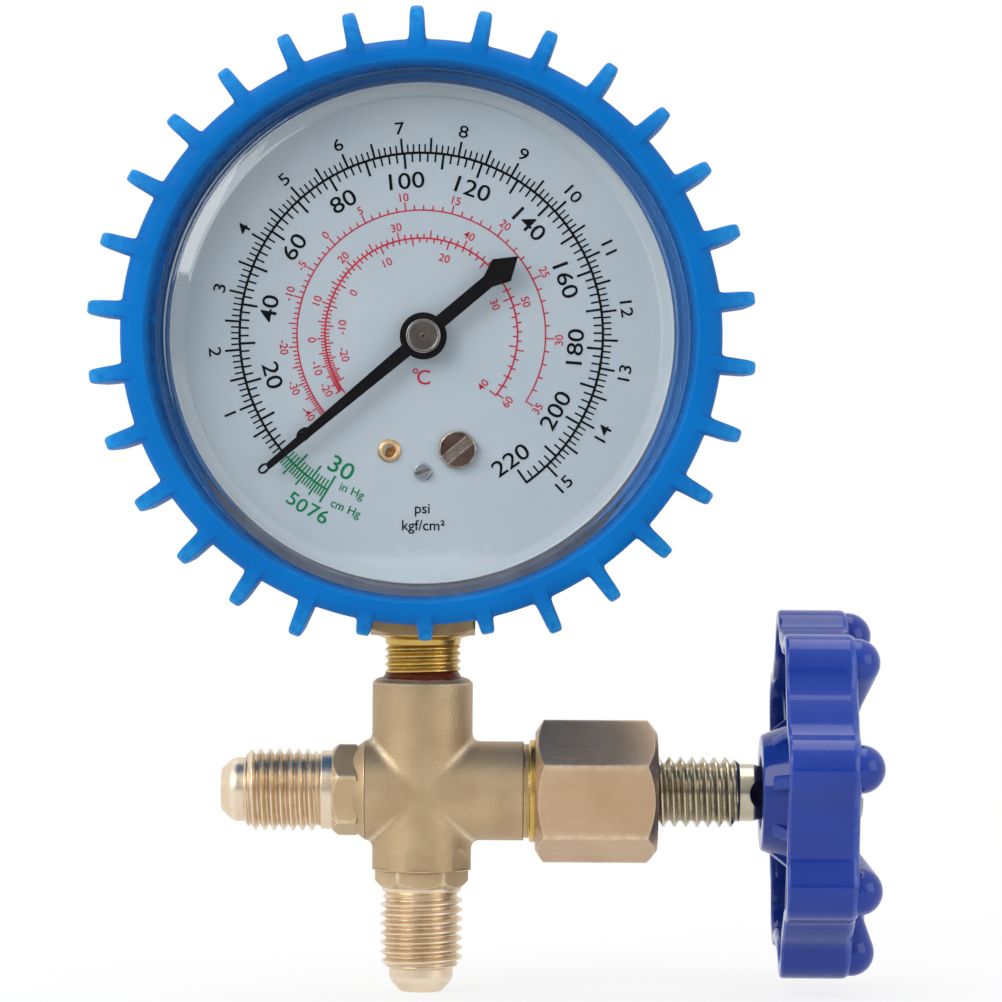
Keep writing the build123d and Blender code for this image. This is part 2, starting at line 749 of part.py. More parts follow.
fin_step = 360 / fin_count
long_fin_count = fin_count - short_fin_count
with BuildPart() as gauge_boot:
    boot_back = case_back - seat_gap
    with BuildSketch(gauge_section) as boot_profile:
        with BuildLine():
            Polyline(
                (boot_inner, boot_back),
                (boot_inner, boot_lip_back),
                (boot_lip_radius, boot_lip_back + boot_lip_slope),
                (boot_lip_radius, boot_lip_front),
                (boot_radius, boot_lip_front),
                (boot_radius, boot_back - boot_back_thickness),
                (boot_back_opening, boot_back - boot_back_thickness),
                (boot_back_opening, boot_back),
                close=True,
            )
        make_face()
        fillet(boot_profile.vertices().group_by(Axis.Y)[-1].sort_by(Axis.X)[-1], boot_front_round)
        fillet(boot_profile.vertices().group_by(Axis.Y)[-1].sort_by(Axis.X)[0], boot_front_round / 2)
        fillet(boot_profile.vertices().group_by(Axis.Y)[0].sort_by(Axis.X)[-1], boot_back_round)
    revolve(axis=gauge_axis)
    with Locations(dial_plane(0)):
        fin_arc = (long_fin_count - 1) * fin_step
        first_fin = -90 + (short_fin_count + 1) / 2 * fin_step
        with PolarLocations(0, long_fin_count, start_angle=first_fin, angular_range=fin_arc, endpoint=True):
            add(boot_fin(fin_tip_radius))
        short_arc = (short_fin_count - 1) * fin_step
        with PolarLocations(
            0, short_fin_count, start_angle=-90 - short_arc / 2, angular_range=short_arc, endpoint=True
        ):
            add(boot_fin(short_fin_tip_radius))
    with BuildSketch(Plane.XY.offset(cross_height + socket_square_start)):
        Rectangle(socket_across_flats + 2 * soft_gap, socket_across_flats + 2 * soft_gap)
    extrude(amount=case_bottom - socket_square_start + 3.0, mode=Mode.SUBTRACT)
save(gauge_boot, "gauge_boot")

# ---------------------------------------------------------------- dial and its fixings
with BuildPart() as dial_plate:
    with BuildSketch(dial_plane(dial_front)):
        Circle(dial_radius)
        Circle(dial_bush_radius, mode=Mode.SUBTRACT)
        with Locations(dial_screw_place, small_screw_place, eyelet_place):
            Circle(dial_screw_shank_radius + seat_gap, mode=Mode.SUBTRACT)
    extrude(amount=-dial_thickness)
save(dial_plate, "dial_plate")

with BuildPart() as dial_screws:
    with BuildSketch(dial_plane(dial_front)):
        with Locations(dial_screw_place):
            Circle(dial_screw_head_radius)
    extrude(amount=dial_screw_head_height)
    chamfer(dial_screws.edges().group_by(Axis.Y)[0], 0.3)
    with BuildSketch(dial_plane(dial_front + dial_screw_head_height)):
        with Locations(dial_screw_place):
            Rectangle(2.2 * dial_screw_head_radius, dial_screw_slot, rotation=dial_screw_slot_turn)
    extrude(amount=-0.6, mode=Mode.SUBTRACT)
    with BuildSketch(dial_plane(dial_front)):
        with Locations(small_screw_place):
            Circle(small_screw_head_radius)
    extrude(amount=small_screw_head_height)
    with BuildSketch(dial_plane(dial_front)):
        with Locations(dial_screw_place, small_screw_place):
            Circle(dial_screw_shank_radius)
    extrude(amount=-4.5)
save(dial_screws, "dial_screws")

with BuildPart() as dial_eyelet:
    with BuildSketch(dial_plane(dial_front)):
        with Locations(eyelet_place):
            Circle(eyelet_radius)
    extrude(amount=eyelet_head_height)
    with BuildSketch(dial_plane(dial_front)):
        with Locations(eyelet_place):
            Circle(dial_screw_shank_radius)
    extrude(amount=-dial_thickness)
    with BuildSketch(dial_plane(dial_front + eyelet_head_height)):
        with Locations(eyelet_place):
            Circle(eyelet_bore_radius - 0.3)
    extrude(amount=-(dial_thickness + eyelet_head_height), mode=Mode.SUBTRACT)
save(dial_eyelet, "dial_eyelet")

# ---------------------------------------------------------------- pointer


def pointer_outline():
    """The pointer lying flat and straight up: a long needle, a hub and a tail with a diamond head."""
    head_root = pointer_tail_length - pointer_head_length
    head_waist = head_root + 0.45 * pointer_head_length
    with BuildSketch() as shape:
        with BuildLine():
            Polyline(
                (-pointer_root_width / 2, 0),
                (-pointer_tip_width / 2, pointer_length),
                (pointer_tip_width / 2, pointer_length),
                (pointer_root_width / 2, 0),
                close=True,
            )
        make_face()
        with BuildLine():
            Polyline(
                (-pointer_stalk_width / 2, 0),
                (-pointer_stalk_width / 2, -head_root),
                (-pointer_head_width / 2, -head_waist),
                (0, -pointer_tail_length),
                (pointer_head_width / 2, -head_waist),
                (pointer_stalk_width / 2, -head_root),
                (pointer_stalk_width / 2, 0),
                close=True,
            )
        make_face()
        Circle(pointer_hub_radius)
        Circle(bush_radius - bush_lip, mode=Mode.SUBTRACT)
    return shape.sketch


with BuildPart() as pointer:
    with BuildSketch(dial_plane(pointer_front)):
        add(pointer_outline(), rotation=-pointer_rest)
    extrude(amount=-pointer_thickness)
save(pointer, "pointer")

bush_front = pointer_front + bush_proud
bush_back = bush_front - bush_height
with BuildPart() as pointer_bush:
    bush_points = [(0, bush_back), (bush_radius - bush_lip - seat_gap, bush_back)]
    bush_points += [(bush_radius - bush_lip - seat_gap, pointer_front), (bush_radius, pointer_front)]
    bush_points += [(bush_radius, bush_front), (bush_hole_radius, bush_front)]
    bush_points += [(bush_hole_radius, bush_front - bush_hole_depth), (0, bush_front - bush_hole_depth)]
    revolve(outline(gauge_section, bush_points), axis=gauge_axis)
    with BuildSketch(dial_plane(bush_back)):
        Circle(arbor_radius + seat_gap)
    extrude(amount=bush_socket_depth, mode=Mode.SUBTRACT)
save(pointer_bush, "pointer_bush")

# ---------------------------------------------------------------- movement


def tooth_points(pitch_radius, turn):
    """Corners of one gear tooth, centred on an angle clockwise from straight up."""
    pitch_angle = degrees(gear_module * pi / pitch_radius)
    root = pitch_radius - (dedendum + 0.3) * gear_module
    tip = pitch_radius + addendum * gear_module
    shares = ((root, root_share), (pitch_radius, tooth_share), (tip, tip_share))
    left = [clockwise(radius, turn - pitch_angle * share / 2) for radius, share in shares]
    right = [clockwise(radius, turn + pitch_angle * share / 2) for radius, share in reversed(shares)]
    return left + right


def toothed_disc(pitch_radius, turns):
    """Flat gear blank with a tooth at each of the given angles."""
    with BuildSketch() as blank:
        Circle(pitch_radius - dedendum * gear_module)
        for turn in turns:
            with BuildLine():
                Polyline(*tooth_points(pitch_radius, turn), close=True)
            make_face()
    return blank.sketch


def rounded_bar(start, end, width):
    """Flat link with round ends centred on two points."""
    with BuildSketch() as bar:
        with Locations(start, end):
            Circle(width / 2)
        make_hull()
    return bar.sketch


def sector_outline():
    """The toothed sector and its tail, flat, with the pivot at the centre."""
    rim_radius = sector_radius + 2 * gear_module
    low_turn = first_tooth_turn - 0.5 * sector_step
    high_turn = first_tooth_turn + (sector_tooth_count - 0.5) * sector_step
    teeth = [first_tooth_turn + tooth * sector_step for tooth in range(sector_tooth_count)]
    with BuildSketch() as shape:
        add(toothed_disc(sector_radius, teeth))
        with BuildLine():
            wedge_low = Line((0, 0), clockwise(rim_radius, low_turn))
            wedge_rim = RadiusArc(wedge_low @ 1, clockwise(rim_radius, high_turn), rim_radius)
            Line(wedge_rim @ 1, (0, 0))
        make_face(mode=Mode.INTERSECT)
        Circle(sector_web_radius)
        add(rounded_bar((0, 0), tail_offset, tail_width))
    return shape.sketch


sector_back = sector_front - sheet_thickness
plate_back = back_plate_front - plate_thickness
with BuildPart() as pinion_shaft:
    with BuildSketch(dial_plane(plate_back)):
        Circle(arbor_radius)
    extrude(amount=bush_back + bush_socket_depth - seat_gap - plate_back)
    with BuildSketch(dial_plane(sector_front - (sheet_thickness + pinion_length) / 2)):
        turns = [sector_pivot_turn + 360 / pinion_teeth * tooth for tooth in range(pinion_teeth)]
        add(toothed_disc(pinion_radius, turns))
    extrude(amount=pinion_length)
save(pinion_shaft, "pinion_shaft")

# The first tooth stands half a step past the line of centres, so a gap faces the pinion's tooth.
sector_step = 360 / sector_teeth
first_tooth_turn = sector_pivot_turn + 180 - 1.5 * sector_step
with BuildPart() as sector_gear:
    with BuildSketch(dial_plane(sector_front)):
        with Locations(sector_pivot):
            add(sector_outline())
        with Locations(sector_pivot):
            Circle(arbor_radius + seat_gap, mode=Mode.SUBTRACT)
        with Locations(tail_place):
            Circle(pin_radius + seat_gap, mode=Mode.SUBTRACT)
    extrude(amount=-sheet_thickness)
save(sector_gear, "sector_gear")

with BuildPart() as sector_arbor:
    with BuildSketch(dial_plane(plate_back)):
        with Locations(sector_pivot):
            Circle(arbor_radius)
    extrude(amount=front_plate_front - plate_back)
    with BuildSketch(dial_plane(sector_back - seat_gap)):
        with Locations(sector_pivot):
            Circle(arbor_boss_radius)
    extrude(amount=-(sector_back - seat_gap - back_plate_front - sliding_gap))
save(sector_arbor, "sector_arbor")

with BuildPart() as movement_back_plate:
    with BuildSketch(dial_plane(back_plate_front)):
        with Locations((0, 0), sector_pivot, *post_places):
            Circle(plate_end_radius)
        with Locations(*foot_places):
            Circle(foot_end_radius)
        make_hull()
        with Locations((0, 0), sector_pivot):
            Circle(arbor_radius + running_gap, mode=Mode.SUBTRACT)
        with Locations(*foot_places, *post_places):
            Circle(movement_screw_radius + seat_gap, mode=Mode.SUBTRACT)
    extrude(amount=-plate_thickness)
save(movement_back_plate, "movement_back_plate")

with BuildPart() as movement_front_plate:
    with BuildSketch(dial_plane(front_plate_front)):
        with Locations((0, 0), sector_pivot, *post_places):
            Circle(plate_end_radius)
        make_hull()
        with Locations((0, 0), sector_pivot):
            Circle(arbor_radius + running_gap, mode=Mode.SUBTRACT)
        with Locations(*post_places):
            Circle(movement_screw_radius + seat_gap, mode=Mode.SUBTRACT)
    extrude(amount=-plate_thickness)
save(movement_front_plate, "movement_front_plate")

post_length = front_plate_front - plate_thickness - back_plate_front
screw_reach = plate_thickness + 1.6
with BuildPart() as movement_posts:
    with BuildSketch(dial_plane(back_plate_front)):
        with Locations(*post_places):
            Circle(post_radius)
    extrude(amount=post_length)
    with BuildSketch(dial_plane(back_plate_front)):
        with Locations(*post_places):
            Circle(movement_screw_radius)
    extrude(amount=-plate_thickness)
    with BuildSketch(dial_plane(back_plate_front + post_length)):
        with Locations(*post_places):
            Circle(movement_screw_radius + seat_gap)
    extrude(amount=-(screw_reach - plate_thickness + 0.2), mode=Mode.SUBTRACT)
save(movement_posts, "movement_posts")

with BuildPart() as movement_screws:
    with BuildSketch(dial_plane(front_plate_front)):
        with Locations(*post_places):
            Circle(movement_screw_head_radius)
    extrude(amount=movement_screw_head_height)
    with BuildSketch(dial_plane(front_plate_front)):
        with Locations(*post_places):
            Circle(movement_screw_radius)
    extrude(amount=-screw_reach)
    with BuildSketch(dial_plane(back_plate_front)):
        with Locations(*foot_places):
            Circle(movement_screw_head_radius)
    extrude(amount=movement_screw_head_height)
    with BuildSketch(dial_plane(back_plate_front)):
        with Locations(*foot_places):
            Circle(movement_screw_radius)
    extrude(amount=-(screw_reach + 1.6))
save(movement_screws, "movement_screws")

# ---------------------------------------------------------------- link and its pins
link_back = sector_front + sliding_gap
link_front = link_back + link_thickness
with BuildPart() as link:
    with BuildSketch(dial_plane(link_front)):
        add(rounded_bar(tail_place, lug_place, link_width))
        with Locations(tail_place):
            Circle(pin_radius + running_gap, mode=Mode.SUBTRACT)
        with Locations(lug_place):
            Circle(pin_radius + open_pivot_gap, mode=Mode.SUBTRACT)
    extrude(amount=-link_thickness)
save(link, "link")


def rivet(place):
    """Flat-headed pin through a sheet piece and the link in front of it."""
    with BuildPart() as pin:
        with BuildSketch(dial_plane(sector_back)):
            with Locations(place):
                Circle(pin_radius)
        extrude(amount=link_front + sliding_gap - sector_back)
        with BuildSketch(dial_plane(link_front + sliding_gap)):
            with Locations(place):
                Circle(pin_head_radius)
        extrude(amount=pin_head_height)
    return pin


tail_pin = rivet(tail_place)
save(tail_pin, "tail_pin")
tip_pin = rivet(lug_place)
save(tip_pin, "tip_pin")

# ---------------------------------------------------------------- Bourdon tube and its end piece


def tube_section(turn, width, thickness):
    """Flat-sided oval across the tube, on a plane square to its run at an angle."""
    place = clockwise(tube_radius, turn)
    outward = (sin(radians(turn)), 0, cos(radians(turn)))
    along = (cos(radians(turn)), 0, -sin(radians(turn)))
    origin = (place[0], -tube_centre_front, gauge_height + place[1])
    with BuildSketch(Plane(origin=origin, x_dir=outward, z_dir=along)) as section:
        SlotOverall(width, thickness, rotation=90)
    return section.sketch


def tube_run(start_turn, end_turn, width, thickness):
    """Curved bar of the tube's outline between two angles round the gauge's axis."""
    with BuildPart() as run:
        revolve(
            tube_section(start_turn, width, thickness),
            axis=Axis((0, 0, gauge_height), (0, 1, 0)),
            revolution_arc=end_turn - start_turn,
        )
    return run.part


tip_turn = degrees(tip_length / tube_radius)
with BuildPart() as bourdon_tube:
    add(tube_run(tube_root_turn, tube_tip_turn, tube_width, tube_thickness))
save(bourdon_tube, "bourdon_tube")

with BuildPart() as tube_tip:
    cap_width = tube_width + 2 * (tip_wall + seat_gap)
    cap_thickness = tube_thickness + 2 * (tip_wall + seat_gap)
    add(tube_run(tube_tip_turn - tip_turn, tube_tip_turn + tip_turn / 3, cap_width, cap_thickness))
    add(
        tube_run(
            tube_tip_turn - tip_turn - 1,
            tube_tip_turn + degrees(seat_gap / tube_radius),
            tube_width + 2 * seat_gap,
            tube_thickness + 2 * seat_gap,
        ),
        mode=Mode.SUBTRACT,
    )
    lug_root = clockwise(tube_radius - cap_thickness / 2 + 0.5, tube_tip_turn - tip_turn / 3)
    with BuildSketch(dial_plane(sector_front)):
        add(rounded_bar(lug_root, lug_place, 1.6 * link_width))
        with Locations(lug_place):
            Circle(pin_radius + seat_gap, mode=Mode.SUBTRACT)
    extrude(amount=-sheet_thickness)
    with BuildSketch(dial_plane(sector_front)):
        with Locations(lug_root):
            Circle(0.8 * link_width)
    extrude(amount=-(sector_front - tube_centre_front - tube_width / 2 - tip_wall / 2))
save(tube_tip, "tube_tip")

# ---------------------------------------------------------------- hairspring
with BuildPart() as hairspring:
    with BuildLine(dial_plane(hairspring_front - hairspring_height / 2)) as spiral:
        for half_turn in range(hairspring_half_turns):
            side = 1 if half_turn % 2 == 0 else -1
            arc_radius = hairspring_inner_radius + half_turn * hairspring_pitch / 2
            arc_centre = 0 if side > 0 else hairspring_pitch / 2
            CenterArc((arc_centre, 0), arc_radius, 0 if side > 0 else 180, 180)
    start = spiral.wires()[0] @ 0
    with BuildSketch(Plane(origin=start, x_dir=(1, 0, 0), z_dir=spiral.wires()[0] % 0)):
        Rectangle(hairspring_strip, hairspring_height)
    sweep()
save(hairspring, "hairspring")
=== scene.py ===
"""Scene of the refrigerant manifold gauge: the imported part, dressed with finished surfaces.

Sizes are in millimetres in the part's own frame, and MM turns them into metres.  A turned piece is
worked out in a local frame (origin, u, v, w): w runs along its axis, angles go from u to v.
"""

import bpy
import numpy as np
from math import cos, pi, radians, sin, tan
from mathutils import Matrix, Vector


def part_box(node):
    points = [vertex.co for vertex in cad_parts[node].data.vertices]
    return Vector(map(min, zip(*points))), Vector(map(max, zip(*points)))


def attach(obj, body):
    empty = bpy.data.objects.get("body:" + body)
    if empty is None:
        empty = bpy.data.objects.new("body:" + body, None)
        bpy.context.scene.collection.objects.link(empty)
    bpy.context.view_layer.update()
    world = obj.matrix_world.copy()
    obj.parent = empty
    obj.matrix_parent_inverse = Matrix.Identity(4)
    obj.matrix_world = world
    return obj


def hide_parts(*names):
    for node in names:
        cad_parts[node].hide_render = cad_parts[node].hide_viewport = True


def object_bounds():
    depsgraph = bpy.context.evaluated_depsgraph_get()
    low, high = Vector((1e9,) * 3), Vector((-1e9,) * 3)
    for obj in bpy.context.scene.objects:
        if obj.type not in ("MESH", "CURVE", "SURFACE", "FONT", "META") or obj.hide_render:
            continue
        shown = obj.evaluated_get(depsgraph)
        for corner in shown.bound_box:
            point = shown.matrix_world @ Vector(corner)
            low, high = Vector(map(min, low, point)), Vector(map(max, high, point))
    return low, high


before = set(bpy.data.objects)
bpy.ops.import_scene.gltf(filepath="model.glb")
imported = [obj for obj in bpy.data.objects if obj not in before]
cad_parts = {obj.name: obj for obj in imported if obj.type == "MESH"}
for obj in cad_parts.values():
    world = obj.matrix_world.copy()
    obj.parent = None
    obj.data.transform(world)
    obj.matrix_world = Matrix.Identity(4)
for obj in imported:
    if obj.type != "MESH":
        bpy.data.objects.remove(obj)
cad_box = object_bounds()
MM = 0.001

# ---------------------------------------------------------------- sizes
dial_low, dial_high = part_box("dial_plate")
stem_low, stem_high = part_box("valve_stem")
gauge_height = (dial_low[2] + dial_high[2]) / 2 / MM
cross_height = (stem_low[2] + stem_high[2]) / 2 / MM
dial_face = -dial_low[1] / MM


def axes(origin, along, across):
    """Local frame: w is the axis, u the direction of angle 0, and v = w x u that of angle 90."""
    w = np.array(along, float)
    u = np.array(across, float)
    return np.array(origin, float), u, np.cross(w, u), w


front = (0, -1, 0)
upper_axis = axes((0, 0, cross_height), (0, 0, 1), front)
lower_axis = axes((0, 0, cross_height), (0, 0, -1), front)
left_axis = axes((0, 0, cross_height), (-1, 0, 0), front)
stem_axis = axes((0, 0, cross_height), (1, 0, 0), front)
gauge_axis = axes((0, 0, gauge_height), front, (1, 0, 0))


# ---------------------------------------------------------------- surfaces
def place(local, radius, angle, along):
    """Points origin + radius (cos angle u + sin angle v) + along w, for arrays that broadcast."""
    origin, u, v, w = local
    radius, angle, along = np.broadcast_arrays(radius, angle, along)
    spoke = radius[..., None] * (np.cos(angle)[..., None] * u + np.sin(angle)[..., None] * v)
    return origin + spoke + along[..., None] * w


def even_turns(count):
    """Angles of a whole turn in equal steps, both ends included."""
    return np.linspace(0, 2 * pi, count + 1)


def turns_about(corners, offsets, count):
    """Angles of a whole turn: equal steps, and closer ones at the given offsets round each corner."""
    close = (np.asarray(corners)[:, None] + np.asarray(offsets)[None, :]).ravel() % (2 * pi)
    return np.unique(np.round(np.concatenate((even_turns(count), close)), 6))


def soft_profile(corners, rounds, steps=4):
    """Rows of (radius, along, edge) through corners, each corner an arc of its round's radius.

    An arc starts at corner - reach d1, with reach = round tan(turn / 2), and runs as
    start + round (sin a d1 + (1 - cos a) n).  Edge is the sine of the way through the arc, above 0
    at an outward corner and below 0 in a groove.
    """
    corners = np.array(corners, float)
    rounds = np.broadcast_to(np.array(rounds, float), len(corners))[1:-1]
    before = corners[1:-1] - corners[:-2]
    after = corners[2:] - corners[1:-1]
    before_length = np.linalg.norm(before, axis=1)
    after_length = np.linalg.norm(after, axis=1)
    d1 = before / before_length[:, None]
    d2 = after / after_length[:, None]
    turn = np.arctan2(d1[:, 0] * d2[:, 1] - d1[:, 1] * d2[:, 0], (d1 * d2).sum(1))
    half = np.maximum(np.tan(np.abs(turn) / 2), 1e-6)
    reach = np.minimum(rounds * half, 0.48 * np.minimum(before_length, after_length))
    way = np.linspace(0, 1, steps + 1)
    angle = np.abs(turn)[:, None] * way
    normal = np.sign(turn)[:, None] * np.stack((-d1[:, 1], d1[:, 0]), 1)
    start = corners[1:-1] - d1 * reach[:, None]
    radius = (reach / half)[:, None, None]
    swing = np.sin(angle)[..., None] * d1[:, None] + (1 - np.cos(angle))[..., None] * normal[:, None]
    arcs = (start[:, None] + radius * swing).reshape(-1, 2)
    edge = (np.sign(turn)[:, None] * np.sin(pi * way)).reshape(-1)
    rows = np.concatenate((corners[:1], arcs, corners[-1:]))
    return np.column_stack((rows, np.concatenate(([0], edge, [0]))))


def lathe(local, profile, turns):
    """Surface of a profile turned about w: one row for each profile point, one column an angle."""
    radius, along, edge = profile.T[:, :, None]
    points = place(local, radius, turns[None, :], along)
    return points, np.broadcast_to(edge, points.shape[:2])


round_turns = even_turns(128)


def turned(local, corners, rounds, turns=round_turns, steps=4):
    """Surface turned about w from a profile's corners and the rounding at each of them."""
    return lathe(local, soft_profile(corners, rounds, steps), turns)


def flats_radius(turns, count, half_width, first):
    """Radius of a bar with count flats: half_width over the power mean of cos(angle - each flat)."""
    hardness = 90.0
    flats = radians(first) + np.arange(count) * 2 * pi / count
    near = np.maximum(np.cos(turns[:, None] - flats), 0)
    return half_width / (near**hardness).sum(1) ** (1 / hardness)


def bar(local, start, end, count, across, first, face_radii, slopes, turns):
    """Bar of flats from start to end whose ends are turned: rows follow the chamfer's edge.

    At each end the face runs out to its face radius, then a cone of the chamfer's slope meets the
    flats where face radius + depth / slope equals the flats' radius.  Rows crowd at both edges of
    the chamfer: lip is their distance from an edge in millimetres, and near as a share of the cone.
    """
    flat = flats_radius(turns, count, across / 2, first)
    columns = np.ones_like(flat)
    lip, near, least_width, least_depth, soft = 0.12, 0.12, 0.05, 0.03, 0.02
    rows, edges = [], []
    for base, sign, face_radius, slope in zip((start, end), (1, -1), face_radii, slopes):
        out = np.minimum(face_radius, flat - least_width)
        depth = np.maximum((flat - out) * slope, least_depth)
        part = [
            (0 * columns, base * columns, 0),
            (out - lip, base * columns, 0),
            (out - soft, base + sign * soft / 2 * columns, 1),
            (out + (flat - out) * near, base + sign * depth * near, 0.2),
            (out + (flat - out) * (1 - near), base + sign * depth * (1 - near), 0.2),
            (flat - 0.015, base + sign * depth, 1),
            (flat, base + sign * (depth + lip), 0.1),
        ]
        middle = [(flat, start + (end - start) * way * columns, 0) for way in (0.35, 0.5, 0.65)]
        for row_radius, row_along, row_edge in (part + middle if sign > 0 else part[::-1]):
            rows.append((row_radius, row_along))
            edges.append(row_edge)
    radius, along = np.array(rows).transpose(1, 0, 2)
    points = place(local, radius, turns[None, :], along)
    corner = np.clip((flat / (across / 2) - 1) / (1 / cos(pi / count) - 1) * 3 - 2, 0, 1)
    edge = np.maximum(np.array(edges, float)[:, None] * columns, 0.9 * corner[None, :])
    return points, edge


thread_marks = np.array([0, 0.045, 0.07, 0.095, 0.16, 0.23, 0.3, 0.345, 0.375, 0.41, 0.45])
thread_marks = np.concatenate((thread_marks, [0.5], 1 - thread_marks[:0:-1]))
crest_share, flank_share, root_rounding, end_slope = 0.07, 0.315, 0.045, 0.9


def thread(local, start, end, pitch, crest, root):
    """Right-hand 60 degree thread: rows follow the helix along = start + pitch (n + mark + turn).

    The radius falls from crest to root over the flanks of each pitch, with a flat crest and a round
    root.  At both ends it is limited by a cone that rises from the root, and along is held between
    start and end, so both ends are plain circles of the root's radius.
    """
    angle = round_turns[None, :]
    whole = np.arange(-1, int(np.ceil((end - start) / pitch)) + 1)
    marks = (whole[:, None] + thread_marks[None, :]).reshape(-1, 1)
    along = np.clip(start + pitch * (marks + angle / (2 * pi)), start, end)
    phase = np.abs((along - start) / pitch - angle / (2 * pi) + 0.5)
    phase = np.abs(phase % 1 - 0.5)
    fall = np.clip((phase - crest_share) / flank_share, 0, 1)
    fall = fall + root_rounding * np.sin(2 * pi * fall)
    radius = crest - (crest - root) * fall
    limit = root + end_slope * np.minimum(along - start, end - along)
    edge = np.where(phase < 0.1, 0.8, 0) - np.clip((phase - 0.3) * 5, 0, 1)
    radius = np.minimum(radius, limit)
    return place(local, radius, angle, along), edge * np.ones_like(radius)


def make_piece(name, sheets, material, body, stands_for=(), sharp=38.0):
    """One mesh from surfaces given as grids of points with an edge value at each point.

    Points that fall together are merged, so seams and poles close.  A four-sided face whose corners
    fall together becomes a triangle or goes.  The mesh keeps edge, and path, the distance along
    each column of its grid, as point attributes.
    """
    points, edges, paths, quads = [], [], [], []
    first = 0
    for grid, edge in sheets:
        rows, columns = grid.shape[:2]
        index = first + np.arange(rows * columns).reshape(rows, columns)
        corners = (index[:-1, :-1], index[:-1, 1:], index[1:, 1:], index[1:, :-1])
        quads.append(np.stack(corners, -1).reshape(-1, 4))
        step = np.linalg.norm(np.diff(grid, axis=0), axis=2)
        path = np.concatenate((np.zeros((1, columns)), np.cumsum(step, axis=0)))
        points.append(grid.reshape(-1, 3))
        edges.append(np.broadcast_to(edge, (rows, columns)).reshape(-1))
        paths.append(path.reshape(-1))
        first += rows * columns
    points = np.concatenate(points)
    key = np.round(points * 1000).astype(np.int64)
    _, kept, new_index = np.unique(key, axis=0, return_index=True, return_inverse=True)
    corners = new_index.reshape(-1)[np.concatenate(quads)]
    lasting = corners != np.roll(corners, -1, axis=1)
    folded = (corners[:, 0] == corners[:, 2]) | (corners[:, 1] == corners[:, 3])
    good = (lasting.sum(1) >= 3) & ~folded
    corners, lasting = corners[good], lasting[good]
    sizes = lasting.sum(1)
    mesh = bpy.data.meshes.new(name)
    mesh.vertices.add(len(kept))
    mesh.vertices.foreach_set("co", (points[kept] * MM).ravel())
    mesh.loops.add(int(sizes.sum()))
    mesh.loops.foreach_set("vertex_index", corners[lasting])
    mesh.polygons.add(len(sizes))
    mesh.polygons.foreach_set("loop_start", np.concatenate(([0], np.cumsum(sizes)[:-1])))
    mesh.update(calc_edges=True)
    mesh.validate()
    for label, values in (("edge", edges), ("path", paths)):
        attribute = mesh.attributes.new(label, "FLOAT", "POINT")
        attribute.data.foreach_set("value", np.concatenate(values)[kept].astype(np.float32))
    mesh.polygons.foreach_set("use_smooth", np.ones(len(mesh.polygons), bool))
    mesh.set_sharp_from_angle(angle=radians(sharp))
    mesh.materials.append(material)
    piece = bpy.data.objects.new(name, mesh)
    bpy.context.scene.collection.objects.link(piece)
    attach(piece, body)
    if stands_for:
        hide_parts(*stands_for)


# ---------------------------------------------------------------- materials
def tint(red, green, blue):
    """Screen colour from 0 to 255, turned into the linear colour that a shader takes."""
    share = np.array((red, green, blue)) / 255
    linear = np.where(share <= 0.04045, share / 12.92, ((share + 0.055) / 1.055) ** 2.4)
    return (*linear.tolist(), 1.0)


def node(tree, kind, values=None, **settings):
    """New node with its settings, then its inputs by name: a socket is linked, a value is set."""
    new = tree.nodes.new("ShaderNode" + kind)
    for key, value in settings.items():
        setattr(new, key, value)
    for key, value in (values or {}).items():
        if isinstance(value, bpy.types.NodeSocket):
            tree.links.new(value, new.inputs[key])
        else:
            new.inputs[key].default_value = value
    return new


def blend_colours(tree, share, first, second):
    """Colour between two, by a share that varies over the surface."""
    mixer = tree.nodes.new("ShaderNodeMix")
    mixer.data_type = "RGBA"
    for socket, value in ((mixer.inputs[0], share), (mixer.inputs[6], first), (mixer.inputs[7], second)):
        if isinstance(value, bpy.types.NodeSocket):
            tree.links.new(value, socket)
        else:
            socket.default_value = value
    return mixer.outputs[2]


def ranged(tree, value, low, high, to_low=0.0, to_high=1.0):
    """Value stretched from one range to another and held there."""
    mapped = node(tree, "MapRange", {0: value, 1: low, 2: high, 3: to_low, 4: to_high})
    return mapped.outputs[0]


def reckon(tree, operation, first, second):
    """Two values put together by an operation: ADD, SUBTRACT, MULTIPLY or MAXIMUM."""
    return node(tree, "Math", {0: first, 1: second}, operation=operation).outputs[0]


def times(tree, first, second):
    """Product of two values."""
    return reckon(tree, "MULTIPLY", first, second)


def plus(tree, first, second):
    """Sum of two values."""
    return reckon(tree, "ADD", first, second)


def own_place(tree):
    """Place on the piece in its own frame, in metres."""
    return node(tree, "TexCoord").outputs["Object"]


def noise(tree, place_at, scale, detail):
    """Soft noise from about 0.3 to 0.7 over a place: scale is its patches in a metre."""
    return node(tree, "TexNoise", {"Vector": place_at, "Scale": scale, "Detail": detail}).outputs["Fac"]


def attribute(tree, name):
    """Value that the mesh keeps at its points under a name, as make_piece gives it."""
    return node(tree, "Attribute", attribute_name=name).outputs["Fac"]


def effect(name, defaults, build):
    """Node group of one effect: its inputs by name with their values, and build gives its outputs.

    A value of four numbers makes an input for a colour.
    """
    group = bpy.data.node_groups.new(name, "ShaderNodeTree")
    for label, value in defaults.items():
        kind = "NodeSocketFloat" if isinstance(value, float) else "NodeSocketColor"
        group.interface.new_socket(label, in_out="INPUT", socket_type=kind).default_value = value
    outputs = build(group, group.nodes.new("NodeGroupInput").outputs)
    result = group.nodes.new("NodeGroupOutput")
    for label, value in outputs.items():
        kind = "NodeSocketColor" if value.type == "RGBA" else "NodeSocketFloat"
        group.interface.new_socket(label, in_out="OUTPUT", socket_type=kind)
        group.links.new(value, result.inputs[label])
    return group


